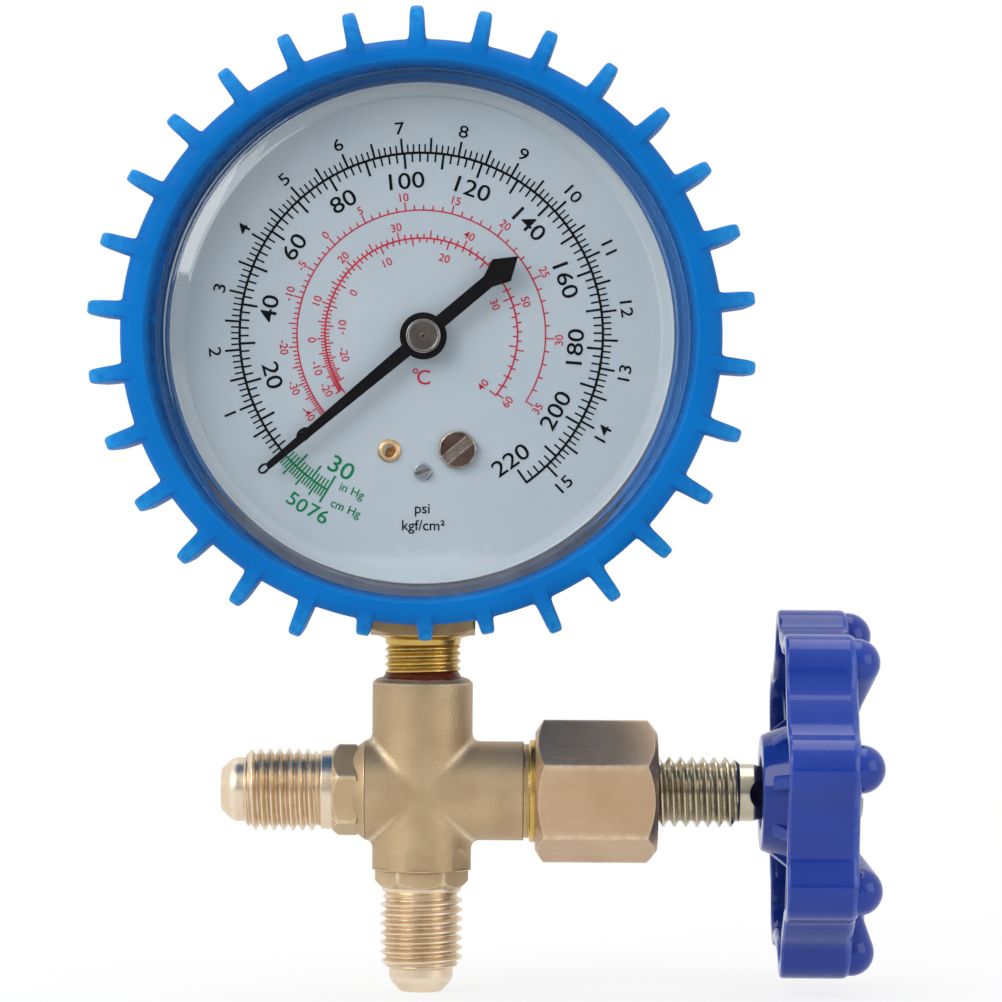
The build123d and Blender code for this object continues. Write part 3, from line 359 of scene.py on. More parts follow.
def build_mottle(group, given):
    """Slow change between two colours, by wide noise."""
    share = ranged(group, noise(group, own_place(group), given["Scale"], 5.0), 0.35, 0.65)
    return {"Color": blend_colours(group, share, given["First"], given["Second"]), "Share": share}


def build_grain(group, given):
    """Fine pitted or pebbled relief: noise plus a quarter of a cell pattern."""
    place_at = own_place(group)
    fine = noise(group, place_at, given["Scale"], 3.0)
    cells = node(group, "TexVoronoi", {"Vector": place_at, "Scale": given["Scale"]}).outputs["Distance"]
    return {"Height": plus(group, fine, times(group, cells, 0.25)), "Share": fine}


def build_edge_wear(group, given):
    """Rubbed outer edges and filled grooves from the edge value broken by noise; on some pieces the same
    masks lay painted highlight and painted shade.
    """
    edge = attribute(group, "edge")
    broken = ranged(group, noise(group, own_place(group), given["Scale"], 4.0), 0.3, 0.6, 0.25, 1.0)
    wear_and_highlight = times(group, ranged(group, edge, 0.1, 0.9), broken)
    return {"Wear and highlight": wear_and_highlight, "Grime and shade": times(group, ranged(group, edge, -0.05, -0.8), broken)}


def build_cutting_marks(group, given):
    """Fine rings that a turning tool leaves: noise over the distance along the turned outline."""
    spaced = times(group, attribute(group, "path"), given["Spacing"])
    rings = node(group, "TexNoise", {"W": spaced, "Scale": 1.0}, noise_dimensions="1D")
    return {"Height": rings.outputs["Fac"]}


def stretched(group, **settings):
    """The piece's own place turned and scaled, so that a pattern stretches."""
    settings = {label.capitalize(): value for label, value in settings.items()}
    return node(group, "Mapping", {"Vector": own_place(group), **settings}).outputs[0]


def build_scratches(group, given):
    """Sparse fine scratches: thin bands of noise stretched along two slanted directions."""
    masks = []
    for turn in ((0.3, 0.5, 0.9), (1.2, -0.6, -0.4)):
        place_at = stretched(group, rotation=turn, scale=(1.0, 14.0, 14.0))
        masks.append(ranged(group, noise(group, place_at, given["Scale"], 2.0), 0.66, 0.72))
    return {"Mask": reckon(group, "MAXIMUM", *masks)}


def build_dust(group, given):
    """Thin dust that settles on faces that look up, broken by noise."""
    up = node(group, "SeparateXYZ", {0: node(group, "NewGeometry").outputs["Normal"]}).outputs["Z"]
    broken = ranged(group, noise(group, own_place(group), given["Scale"], 6.0), 0.5, 0.75)
    return {"Mask": times(group, ranged(group, up, 0.3, 1.0), broken)}


def build_drawn_lines(group, given):
    """Fine lines along X that drawing or milling leaves: noise drawn out fifty times along X."""
    lines = noise(group, stretched(group, scale=(0.02, 1.0, 1.0)), given["Scale"], 4.0)
    return {"Height": lines}


mottle = effect("mottle", {"Scale": 90.0, "First": (1, 1, 1, 1), "Second": (0, 0, 0, 1)}, build_mottle)
drawn_lines = effect("drawn lines", {"Scale": 900.0}, build_drawn_lines)
grain = effect("grain", {"Scale": 1500.0}, build_grain)
# Masks for rubbed wear and grime, which on some pieces lay painted highlight and painted shade.
edge_wear_and_light = effect("edge wear and painted light", {"Scale": 900.0}, build_edge_wear)
cutting_marks = effect("cutting marks", {"Spacing": 12.0}, build_cutting_marks)
scratches = effect("scratches", {"Scale": 60.0}, build_scratches)
dust = effect("dust", {"Scale": 300.0}, build_dust)


def use(tree, group, **values):
    """Outputs of a shared effect placed in a material with its own values."""
    placed = tree.nodes.new("ShaderNodeGroup")
    placed.node_tree = group
    for label, value in values.items():
        placed.inputs[label.capitalize()].default_value = value
    return placed.outputs


def cleared(owner):
    """Node tree of a new material or world, empty."""
    owner.use_nodes = True
    owner.node_tree.nodes.clear()
    return owner.node_tree


MICRON = 0.000001
scratch_depth = -3.0
dust_colour = tint(190, 186, 178)


def finish_surface(name, colour, second, rough, metallic, patch=90.0, pits=1500.0, pit_depth=20.0,
                   rings=None, wear_and_highlight=None, grime_and_shade=None, dusty=0.0, rough_spread=0.12, drawn=0.0, **shader):
    """Material of one finish: mottled colour, rubbed edges, filled grooves, dust and fine relief.

    Colour = mottle, then a lighter colour on the edges and a darker one in the grooves, each a
    (colour, share), and dust on top.  The lighter colour is rubbed wear and on some pieces a painted
    highlight; the darker is grime and on some pieces painted shade.  Roughness follows the pits and
    the scratches.  The relief is the sum of the pits, the rings as (spacing, depth), the drawn lines
    and the scratches, with depths in microns.
    """
    material = bpy.data.materials.new(name)
    tree = cleared(material)
    colour_now = use(tree, mottle, scale=patch, first=tint(*colour), second=tint(*second))["Color"]
    relief = use(tree, grain, scale=pits)
    edges = use(tree, edge_wear_and_light, scale=900.0)
    lines = use(tree, scratches, scale=60.0)["Mask"]
    # Edges take the lighter colour, which is wear and on some pieces a painted highlight; grooves take the
    # darker, which is grime and on some pieces painted shade.
    for mask, coat in ((edges["Wear and highlight"], wear_and_highlight), (edges["Grime and shade"], grime_and_shade)):
        if coat:
            colour_now = blend_colours(tree, times(tree, mask, coat[1]), colour_now, tint(*coat[0]))
    if dusty:
        settled = times(tree, use(tree, dust, scale=300.0)["Mask"], dusty)
        colour_now = blend_colours(tree, settled, colour_now, dust_colour)
    spread = rough_spread / 2
    roughness = ranged(tree, relief["Share"], 0.3, 0.7, rough - spread, rough + spread)
    roughness = plus(tree, roughness, times(tree, lines, 0.08))
    height = times(tree, relief["Height"], pit_depth * MICRON)
    if rings:
        rings_now = use(tree, cutting_marks, spacing=rings[0])["Height"]
        height = plus(tree, height, times(tree, rings_now, rings[1] * MICRON))
    if drawn:
        drawn_now = use(tree, drawn_lines, scale=1400.0)["Height"]
        height = plus(tree, height, times(tree, drawn_now, drawn * MICRON))
        darker = ranged(tree, drawn_now, 0.35, 0.7, 0.0, 0.35)
        colour_now = blend_colours(tree, darker, colour_now, tint(*second))
    height = plus(tree, height, times(tree, lines, scratch_depth * MICRON))
    bump = node(tree, "Bump", {"Height": height, "Strength": 1.0, "Distance": 1.0})
    principled = node(tree, "BsdfPrincipled", {
        "Base Color": colour_now, "Roughness": roughness, "Normal": bump.outputs["Normal"],
        "Metallic": metallic,
    })
    for label, value in shader.items():
        principled.inputs[label.replace("_", " ").title().replace("Ior", "IOR")].default_value = value
    node(tree, "OutputMaterial", {"Surface": principled.outputs[0]})
    return material


# Cast brass.  Its wear colour is rubbed wear on the arms' turned ends and a painted highlight along the
# crease where the arms meet.
brass_cast = finish_surface(
    "cast brass", (194, 170, 134), (180, 154, 118), 0.48, 0.72, patch=160.0, pits=3200.0, pit_depth=50,
    wear_and_highlight=((232, 216, 184), 0.8), grime_and_shade=((122, 98, 66), 0.4), dusty=0.1)
brass_flats = finish_surface(
    "flat-cut brass", (204, 180, 144), (190, 164, 128), 0.5, 0.8, patch=160.0, pits=2600.0,
    pit_depth=12, rings=(10.0, 10), wear_and_highlight=((234, 218, 186), 0.9))
brass_turned = finish_surface(
    "turned brass", (234, 216, 192), (220, 199, 168), 0.32, 1.0, patch=220.0, pits=3000.0,
    pit_depth=4, rings=(9.0, 14), wear_and_highlight=((246, 236, 216), 0.5),
    grime_and_shade=((176, 144, 104), 0.5), rough_spread=0.1)
brass_milled = finish_surface(
    "milled bar brass", (202, 174, 142), (190, 160, 126), 0.42, 0.86, patch=140.0, pits=1800.0,
    pit_depth=2, wear_and_highlight=((240, 216, 188), 0.9), grime_and_shade=((110, 84, 60), 0.6), dusty=0.1, drawn=10)
brass_yellow = finish_surface(
    "yellow brass", (214, 182, 108), (196, 162, 84), 0.3, 1.0, patch=200.0, pits=2200.0,
    pit_depth=4, rings=(9.0, 10), wear_and_highlight=((238, 216, 150), 0.7), grime_and_shade=((140, 106, 50), 0.6))
# Nickel.  Its dark colour is grime in the thread's roots and painted shade on the stem's milled flats.
nickel = finish_surface(
    "nickel plate", (200, 192, 172), (184, 174, 148), 0.24, 1.0, patch=240.0, pits=1200.0,
    pit_depth=2, rings=(8.0, 6), wear_and_highlight=((222, 214, 194), 0.2),
    grime_and_shade=((70, 62, 50), 0.55), rough_spread=0.06)
# Zinc steel.  Its dark colour shows in the small screw's slot, as painted shade.
zinc_steel = finish_surface(
    "zinc steel", (172, 174, 176), (148, 150, 152), 0.34, 1.0, patch=260.0, pits=2400.0,
    pit_depth=10, rings=(7.0, 10), wear_and_highlight=((214, 216, 218), 0.6), grime_and_shade=((70, 68, 64), 0.7))
nickel_brown = finish_surface(
    "browned nickel", (124, 98, 88), (100, 76, 68), 0.32, 1.0, patch=500.0, pits=3500.0,
    pit_depth=4, wear_and_highlight=((226, 212, 196), 0.9))
cap_nickel = finish_surface(
    "brushed nickel", (118, 108, 100), (100, 90, 84), 0.36, 1.0, patch=400.0, pits=3500.0,
    pit_depth=3, rings=(40.0, 6), wear_and_highlight=((244, 238, 228), 1.0), grime_and_shade=((50, 40, 36), 0.9))
eyelet_gold = finish_surface(
    "gilded brass", (240, 200, 150), (230, 188, 136), 0.34, 1.0, patch=400.0, pits=3000.0,
    pit_depth=3, wear_and_highlight=((250, 226, 190), 0.5), grime_and_shade=((158, 100, 44), 1.0))
# Brass darkened as painted shade, for the socket's square that lies in the boot's shadow.
brass_shaded = finish_surface(
    "brass darkened for shade", (166, 142, 104), (146, 120, 84), 0.4, 1.0, patch=160.0, pits=1800.0,
    pit_depth=8, rings=(9.0, 10), wear_and_highlight=((200, 176, 132), 0.7))
case_black = finish_surface(
    "stove enamel", (30, 31, 33), (22, 22, 24), 0.38, 0.0, patch=120.0, pits=1400.0,
    wear_and_highlight=((120, 120, 118), 0.3), dusty=0.15)
# Blue rubber.  Its dark grime colour is painted shade on the lip's inner slope and at the fins' feet; its
# lighter wear colour is a painted highlight on the fins and the lip's rounded corners.
boot_blue = finish_surface(
    "blue rubber", (0, 108, 186), (0, 98, 174), 0.5, 0.0, patch=60.0, pits=1600.0, pit_depth=12,
    wear_and_highlight=((36, 142, 210), 0.9), grime_and_shade=((26, 72, 132), 0.95), dusty=0.04, specular_ior_level=0.08)
# Boot rubber painted lighter than the boot, to make up for the deep shade of the groove it lies in: painted
# light.
fold_blue_lightened = finish_surface(
    "folded blue rubber lightened for shade", (58, 126, 194), (48, 112, 180), 0.5, 0.0, patch=60.0, pits=1600.0,
    pit_depth=10)
# Blue nylon.  Its lighter wear colour is a painted highlight on the ribs' tops and the rim's rounded edges;
# its dark colour darkens the profile's grooves.
wheel_blue = finish_surface(
    "blue nylon", (28, 60, 152), (22, 50, 140), 0.3, 0.0, patch=50.0, pits=900.0, pit_depth=3,
    wear_and_highlight=((80, 108, 196), 0.4), grime_and_shade=((18, 32, 100), 0.5), dusty=0.02,
    coat_weight=0.55, coat_roughness=0.04, specular_ior_level=0.1)
gasket_black = finish_surface(
    "black rubber", (66, 66, 72), (50, 50, 55), 0.4, 0.0, patch=200.0, pits=2000.0, pit_depth=10)
# Black rubber painted light grey to make up for the shade it lies in at the lens' edge: painted light.
gasket_lightened = finish_surface(
    "black rubber lightened for shade", (134, 136, 146), (112, 114, 124), 0.45, 0.0, patch=200.0, pits=2000.0, pit_depth=10)
sealant_red = finish_surface(
    "thread sealant", (138, 52, 40), (98, 34, 26), 0.4, 0.0, patch=500.0, pits=900.0, pit_depth=30,
    coat_weight=0.1, coat_roughness=0.1, specular_ior_level=0.3)
seat_white = finish_surface(
    "white seat plastic", (226, 224, 216), (210, 208, 198), 0.35, 0.0, patch=300.0, pits=2000.0)
dial_paint = finish_surface(
    "dial paint", (194, 201, 205), (188, 196, 201), 0.55, 0.0, patch=40.0, pits=3000.0, pit_depth=4,
    rough_spread=0.08, specular_ior_level=0.3)


def ink(name, colour, second):
    """Printing ink: matt, with hardly any shine."""
    return finish_surface(name, colour, second, 0.6, 0.0, patch=900.0, pits=3000.0, pit_depth=2,
                          specular_ior_level=0.06)


ink_black = ink("black ink", (12, 12, 15), (20, 20, 24))
ink_red = ink("red ink", (200, 40, 60), (208, 58, 74))
ink_green = ink("green ink", (6, 124, 72), (16, 134, 82))
pointer_black = finish_surface(
    "pointer paint", (17, 14, 19), (12, 10, 14), 0.5, 0.0, patch=300.0, pits=2600.0, pit_depth=6,
    wear_and_highlight=((70, 66, 66), 0.3), specular_ior_level=0.06)
bronze = finish_surface(
    "bronze", (196, 150, 96), (172, 124, 74), 0.3, 1.0, patch=200.0, pits=2400.0, pit_depth=6)


def clear_plastic():
    """Clear acrylic: a plain glassy Principled, with a faint haze of scratches in its roughness.

    Shadow rays pass through a tinted Transparent shader, so the dial behind stays lit.
    """
    material = bpy.data.materials.new("clear acrylic")
    tree = cleared(material)
    lines = use(tree, scratches, scale=40.0)["Mask"]
    specks = use(tree, dust, scale=500.0)["Mask"]
    roughness = plus(tree, times(tree, lines, 0.05), times(tree, specks, 0.08))
    waves = use(tree, mottle, scale=30.0, first=(0, 0, 0, 1), second=(1, 1, 1, 1))["Share"]
    relief = times(tree, waves, 10 * MICRON)
    bump = node(tree, "Bump", {"Height": relief, "Strength": 1.0, "Distance": 1.0})
    tinted = use(tree, mottle, scale=50.0, first=tint(250, 252, 254), second=tint(244, 249, 253))["Color"]
    glassy = node(tree, "BsdfPrincipled", {
        "Base Color": tinted, "Roughness": roughness, "Normal": bump.outputs["Normal"],
        "Metallic": 0.0, "Transmission Weight": 1.0, "IOR": 1.49,
    })
    passing = node(tree, "BsdfTransparent", {"Color": (0.93, 0.95, 0.97, 1.0)})
    shadow = node(tree, "LightPath").outputs["Is Shadow Ray"]
    mixed = node(tree, "MixShader", {0: shadow, 1: glassy.outputs[0], 2: passing.outputs[0]})
    node(tree, "OutputMaterial", {"Surface": mixed.outputs[0]})
    return material


acrylic = clear_plastic()

# ---------------------------------------------------------------- brass body
arm_radius = 6.7
radius_spread = 0.05
crease_blend = 1.3


def body_distance(points):
    """How far points lie outside two crossed round bars, blended where their sides meet at an angle.

    The upright bar is a little thicker at the top than below, where it is as thick as the level one.
    Each bar's value is the distance from its axis less its radius.  The blend is a smooth minimum
    whose width is crease_blend (1 - (n1 . n2)^2), for the bars' outward directions n1 and n2.
    """
    x, y, z = np.moveaxis(points, -1, 0)
    from_upright = np.maximum(np.hypot(x, y), 1e-6)
    from_level = np.maximum(np.hypot(y, z), 1e-6)
    first = from_upright - (arm_radius + radius_spread * np.clip(z / 3, -1, 1))
    second = from_level - (arm_radius - radius_spread)
    width = crease_blend * (1 - (y * y / (from_upright * from_level)) ** 2) + 1e-4
    share = np.clip(0.5 + 0.5 * (second - first) / width, 0, 1)
    return second + (first - second) * share - width * share * (1 - share)


def reach_surface(start, direction, nearest, furthest):
    """Distance along each direction at which body_distance is nought, by halving an interval."""
    low = np.full(direction.shape[:-1], float(nearest))
    high = np.full(direction.shape[:-1], float(furthest))
    for _ in range(30):
        middle = (low + high) / 2
        outside = body_distance(start + middle[..., None] * direction) > 0
        high = np.where(outside, middle, high)
        low = np.where(outside, low, middle)
    return (low + high) / 2


def arm(along, across, end, tail, flats=None):
    """One arm of the cross: from the mitre with its neighbours to its end, then a turned tail.

    Column angle t points the spoke (cos t across + sin t facing), where facing = along x across.
    The mitre is where a ray along (|cos t| along + spoke) leaves the body, and each later row keeps
    its own distance along the arm.  flats gives (number, half width, end of the cutter's run-in,
    first flat): the radius is then no more than such a bar's, which swells at both ends.
    """
    along, across = np.array(along, float), np.array(across, float)
    facing = np.cross(along, across)
    angle = even_turns(144)
    spoke = np.cos(angle)[:, None] * across + np.sin(angle)[:, None] * facing
    upright = np.abs(np.cos(angle))
    ray = upright[:, None] * along + spoke
    mitre_reach = reach_surface(np.zeros(3), ray, 1.0, 20.0)
    mitre = mitre_reach * upright
    way = np.linspace(0, 1, 26)[:, None] ** 1.4
    rise = mitre[None, :] + (end - mitre[None, :]) * way
    start = rise[..., None] * along
    radius = reach_surface(start, np.broadcast_to(spoke, start.shape), 1.0, 14.0)
    edge = np.zeros_like(radius)
    crease_width, swell, swell_length = 0.9, 3.5, 2.6
    # Painted highlight: a band along the crease where the arms meet takes the lighter edge colour; the arm
    # that points down gets none.
    crease_highlight = np.clip(1 - (rise - mitre) / crease_width, 0, 1) * np.clip(upright * 1.6 - 0.4, 0, 1)
    edge = np.maximum(edge, crease_highlight * (along[2] >= 0))
    if flats:
        number, half_width, run_in, first = flats
        limit = half_width + 0.05 * np.clip(run_in - rise, 0, None) ** 2
        limit = limit + swell * np.clip(1 - (rise - mitre) / swell_length, 0, 1) ** 2 * upright
        flat = flats_radius(angle, number, 1.0, first)[None, :] * limit
        # A faint painted highlight along the edge of the flats.
        edge = np.where(np.abs(flat - radius) < 0.05, 0.12, edge)
        radius = np.minimum(radius, flat)
    points = start + radius[..., None] * spoke
    tail_radius, ahead, tail_edge = tail.T[:, :, None]
    tail_points = (end + ahead)[..., None] * along + tail_radius[..., None] * spoke
    points = np.concatenate((points, tail_points))
    edge = np.concatenate((edge, np.broadcast_to(tail_edge, tail_points.shape[:2])))
    return points + np.array((0, 0, cross_height)), edge


def tail_rows(corners, rounds):
    """Rows of (radius, distance past the arm's end, edge) for an arm's turned end."""
    return soft_profile(corners, rounds, 3)[1:]


upper_tail = tail_rows([(6.75, -2), (6.75, 1.0), (6.2, 1.55), (4.7, 2.0), (4.7, -4.0), (0, -4.0)],
                       [0, 0.4, 0.5, 0.1, 0.3, 0])
right_tail = tail_rows([(6.65, -2), (6.65, 0), (6.3, 0.12), (6.3, 0.8), (5.0, 0.8), (0, 0.8)],
                       [0, 0.15, 0.05, 0.1, 0.1, 0])
left_tail = tail_rows([(6.65, -2), (6.65, 0), (5.2, 1.9), (0, 1.9)], [0, 0.5, 0.3, 0])
lower_tail = tail_rows([(6.65, -2), (6.6, 0), (5.2, 0.45), (0, 0.45)], [0, 0.2, 0.1, 0])
make_piece("cross_body", [
    arm((0, 0, 1), (1, 0, 0), 13.5, upper_tail),
    arm((1, 0, 0), (0, 0, -1), 13.6, right_tail),
    arm((-1, 0, 0), (0, 0, 1), 7.7, left_tail),
    arm((0, 0, -1), (-1, 0, 0), 10.6, lower_tail, flats=(6, 6.32, 9.2, 90)),
], brass_cast, "manifold", ("manifold_body",), sharp=28)

corner_offsets = np.radians([-6, -3.5, -2.2, -1.3, -0.6, 0, 0.6, 1.3, 2.2, 3.5, 6])
thread_root = 4.77


def hexagon_turns(first):
    """Angles of a whole turn, closer at the corners of a hexagon whose first flat is at an angle."""
    return turns_about(radians(first + 30) + np.arange(6) * pi / 3, corner_offsets, 72)


def flare_port(name, local, collar_start, collar_end, first):
    """Flare port: hexagon collar, shank, 7/16-20 thread, sealing nose and the start of its bore."""
    collar = bar(local, collar_start, collar_end, count=6, across=11.0, first=first, face_radii=(5.2, 5.4),
                 slopes=(0.6, 1.0), turns=hexagon_turns(first))
    thread_start, thread_end, port_end = 13.8, 23.6, 27.0
    shank_radius, nose_radius, bore = 5.3, 4.3, 2.35
    shank = [(0, collar_end - 2), (shank_radius, collar_end - 2), (shank_radius, thread_start - 0.35),
             (thread_root, thread_start)]
    nose = [(thread_root, thread_end), (4.62, 23.62), (nose_radius, 23.85), (nose_radius, 25.35),
            (2.75, port_end), (bore, port_end), (bore, 20.0), (0, 20.0)]
    make_piece(name + "_collar", [collar], brass_flats, "manifold")
    make_piece(name, [
        turned(local, shank, [0, 0.05, 0.12, 0]),
        thread(local, thread_start, thread_end, pitch=1.27, crest=5.55, root=thread_root),
        turned(local, nose, [0, 0.02, 0.1, 1.6, 0.5, 0.1, 0.1, 0], steps=8),
    ], brass_turned, "manifold")


flare_port("left_port", left_axis, 8.2, 12.05, -10.5)
flare_port("bottom_port", lower_axis, 9.6, 13.0, 0.0)

neck = [(0, 13.0), (6.32, 13.0), (6.32, 13.85), (6.05, 14.0), (6.05, 14.2), (6.35, 14.35), (6.35, 14.46),
        (0, 14.46)]
make_piece("valve_neck", [turned(stem_axis, neck, [0, 0.1, 0.08, 0.05, 0.05, 0.08, 0.04, 0])], brass_yellow,
           "manifold")

# ---------------------------------------------------------------- gauge socket
square_offsets = np.radians([-9, -6.5, -4, -2, -0.8, 0, 0.8, 2, 4, 6.5, 9])
square_turns = turns_about(radians(45) + np.arange(4) * pi / 2, square_offsets, 72)
socket_square = bar(upper_axis, 21.0, 27.5, count=4, across=14.0, first=0.0, face_radii=(7.6, 8.0),
                    slopes=(0.4, 0.5), turns=square_turns)
# The square takes the darkened brass: painted shade from the boot above it.
make_piece("socket_square", [socket_square], brass_shaded, "manifold")
socket_root = 4.7
socket_cone = [(0, 19.7), (5.0, 19.7), (5.1, 20.5), (7.2, 21.15), (0, 21.15)]
socket_stub = [(0, 13.0), (socket_root, 13.0), (socket_root, 13.2)]
socket_top = [(socket_root, 19.8), (socket_root, 20.8), (0, 20.8)]
make_piece("gauge_socket_dressed", [
    turned(upper_axis, socket_cone, [0, 0.1, 0.3, 0.2, 0]),
    turned(upper_axis, socket_stub, [0, 0.05, 0]),
    thread(upper_axis, 13.2, 19.8, pitch=1.0, crest=5.12, root=socket_root),
    turned(upper_axis, socket_top, [0, 0.1, 0]),
], brass_yellow, "manifold", ("gauge_socket",))


def sealant_bead():
    """Squeezed-out thread sealant on the arm's mouth: a flattened ring that spreads to the front.

    Its inner side keeps to the thread, its outer reach wavers with the angle, and its height follows
    the slope of the mouth.
    """
    turn = even_turns(200)[None, :]
    section = even_turns(18)[:, None]
    inner, mouth, slope, thickness = 4.3, 15.46, 0.33, 0.42
    waver = 0.5 * np.sin(3 * turn + 0.7) + 0.35 * np.sin(7 * turn + 2.0) + 0.15 * np.sin(13 * turn)
    reach = 5.0 + 1.15 * np.clip(np.cos(turn) * 1.3, 0, 1) ** 0.8 + 0.16 * waver
    half = (reach - inner) / 2
    radius = inner + half + half * np.cos(section)
    lie = mouth - np.clip(radius - socket_root, 0, None) * slope + 0.3 * np.clip(5.3 - radius, 0, 1)
    along = lie + (thickness + 0.08 * waver) * np.sin(section)
    return place(upper_axis, radius, turn, along), np.zeros(along.shape)


make_piece("sealant_bead", [sealant_bead()], sealant_red, "manifold", ("thread_sealant",))

# ---------------------------------------------------------------- valve
bonnet_first = 6.2
bonnet_hexagon = bar(stem_axis, 15.24, 31.66, count=6, across=17.0, first=bonnet_first,
                     face_radii=(7.9, 7.9), slopes=(0.62, 0.75), turns=hexagon_turns(bonnet_first))
make_piece("bonnet_dressed", [bonnet_hexagon], brass_milled, "manifold", ("valve_bonnet",))
washer = [(0, 14.42), (6.7, 14.42), (6.9, 14.6), (6.9, 15.24), (0, 15.24)]
make_piece("bonnet_washer_dressed", [turned(stem_axis, washer, [0, 0.1, 0.1, 0.05, 0])], brass_yellow,
           "manifold", ("bonnet_washer",))

stem_end_radius = 3.84


def stem_end():
    """Stem past its thread: turned end and taper with two flats, where a round cutter ran out.

    A flat's distance from the axis is sqrt(r^2 - h^2), with h the half height of the cutter's circle
    about the flats' start, so each flat begins as a half disc.
    """
    start, taper, flats, tip = 42.0, 44.6, 46.2, 55.6
    cutter_radius, shaft_radius = 2.2, 3.3
    turns = turns_about(np.arange(2) * pi, np.radians(np.linspace(-60, 60, 81)), 96)
    corners = [(0, start), (stem_end_radius, start), (stem_end_radius, taper), (shaft_radius, flats),
               (shaft_radius, tip), (0, tip)]
    main = soft_profile(corners, [0, 0.1, 0.8, 0.5, 0.1, 0], 5)[1:-1]
    close = np.linspace(start, flats + 0.4, 80)
    along = np.unique(np.concatenate((close, np.linspace(close[-1], tip, 8))))
    radius = np.interp(along, main[:, 1], main[:, 0])
    along = np.concatenate(([start], along, [tip]))[:, None]
    radius = np.concatenate(([0], radius, [0]))[:, None]
    before = np.clip(flats - along, 0, None)
    half_height = np.clip(cutter_radius**2 - before**2, 0, None)
    cutter = np.sqrt(stem_end_radius**2 - half_height) - 0.6 * (along > flats + 0.05)
    limit = cutter / np.maximum(np.abs(np.cos(turns)), 0.2)[None, :]
    # Painted shade: the milled flats are marked -1, so they take the nickel's dark colour.
    flats_shade = np.where((limit < radius - 0.002) & (radius > 0.1), -1.0, 0.0)
    return place(stem_axis, np.minimum(radius, limit), turns[None, :], along), flats_shade


stem_root = 3.9
stem_start = [(0, 29.0), (stem_root, 29.0), (stem_root, 29.2)]
stem_cap = [(stem_root, 42.7), (stem_root - 0.1, 42.72), (0, 42.72)]
make_piece("valve_stem_dressed", [
    turned(stem_axis, stem_start, [0, 0.05, 0]),
    thread(stem_axis, 29.2, 42.7, pitch=1.5, crest=4.72, root=stem_root),
    turned(stem_axis, stem_cap, [0, 0.05, 0]),
    stem_end(),
], nickel, "valve_stem", ("valve_stem",))

# ---------------------------------------------------------------- handwheel
lobe_count = 8
lobe_phase = -12.0
lobe_centre = 20.4
lobe_radius = 4.6
valley_radius = 21.8
valley_blend = 5.0
wheel_nominal = 25.0
wheel_face = 57.5


def lobed_radius(angle):
    """Rim radius: a lobe's circle, the valley's, or a hollow circle that touches both.

    A circle of radius r whose middle lies at a distance c, at the angle a from the spoke, is met at
    c cos a + sqrt(r^2 - (c sin a)^2) on its far side and with a minus on its near side.
    """
    step = 2 * pi / lobe_count
    away = np.abs((angle - radians(lobe_phase) + step / 2) % step - step / 2)
    hollow_centre = valley_radius + valley_blend
    joined = lobe_radius + valley_blend
    cosine = (hollow_centre**2 + lobe_centre**2 - joined**2) / (2 * hollow_centre * lobe_centre)
    hollow_turn = np.arccos(cosine)
    touch_out = lobe_centre + (hollow_centre * cos(hollow_turn) - lobe_centre) * lobe_radius / joined
    touch_side = hollow_centre * sin(hollow_turn) * lobe_radius / joined
    lobe_end = np.arctan2(touch_side, touch_out)
    beside = lobe_centre * np.sin(away)
    lobe = lobe_centre * np.cos(away) + np.sqrt(np.clip(lobe_radius**2 - beside**2, 0, None))
    near = hollow_centre * np.sin(hollow_turn - away)
    hollow = hollow_centre * np.cos(hollow_turn - away) - np.sqrt(np.clip(valley_blend**2 - near**2, 0, None))
    return np.where(away < lobe_end, lobe, np.where(away < hollow_turn, hollow, valley_radius))


def smooth(share):
    """Share from 0 to 1 with a soft start and end: share^2 (3 - 2 share)."""
    return share * share * (3 - 2 * share)


def wheel_shell():
    """Wheel turned from its profile: the nearer a row is to the rim, the more it follows the lobes.

    Radius = the profile's + smooth((radius - hub) / blend) (lobed radius - nominal radius).
    """
    corners = [(0, 46.9), (5.0, 46.9), (5.0, 45.6), (7.75, 45.6), (9.2, 49.2), (9.4, 55.5), (22.7, 55.5),
               (22.9, 48.0), (25.0, 48.0), (25.0, wheel_face), (6.6, wheel_face), (6.6, 55.8), (0, 55.8)]
    profile = soft_profile(corners, [0, 0.3, 0.25, 0.4, 2.0, 0.8, 0.8, 0.5, 0.5, 1.2, 0.4, 0.2, 0], 6)
    lengths = np.linalg.norm(np.diff(profile[:, :2], axis=0), axis=1)
    marks = np.concatenate(([0], np.cumsum(lengths)))
    fine = np.unique(np.concatenate((marks, np.arange(0, marks[-1], 0.9))))
    radius, along, edge = (np.interp(fine, marks, column) for column in profile.T)
    turns = even_turns(384)
    hub, blend = 9.0, 11.0
    follow = smooth(np.clip((radius - hub) / blend, 0, 1))
    shift = lobed_radius(turns) - wheel_nominal
    radius = radius[:, None] + follow[:, None] * shift[None, :]
    points = place(stem_axis, radius, turns[None, :], along[:, None])
    return points, np.broadcast_to(edge[:, None], radius.shape)


def closed_ends(points, edge):
    """Same surface with a middle point added before and after, so that both ends close."""
    first = np.broadcast_to(points[0].mean(axis=0), points[:1].shape)
    last = np.broadcast_to(points[-1].mean(axis=0), points[:1].shape)
    points = np.concatenate((first, points, last))
    return points, np.concatenate((edge[:1] * 0, edge, edge[-1:] * 0))


def along_spoke(turn, reach, side, along):
    """Points at a reach out along the wheel's spoke at a turn, to its side and along the axis."""
    origin, u, v, w = stem_axis
    spoke = cos(turn) * u + sin(turn) * v
    beside = -sin(turn) * u + cos(turn) * v
    return origin + reach[..., None] * spoke + side[..., None] * beside + along[..., None] * w


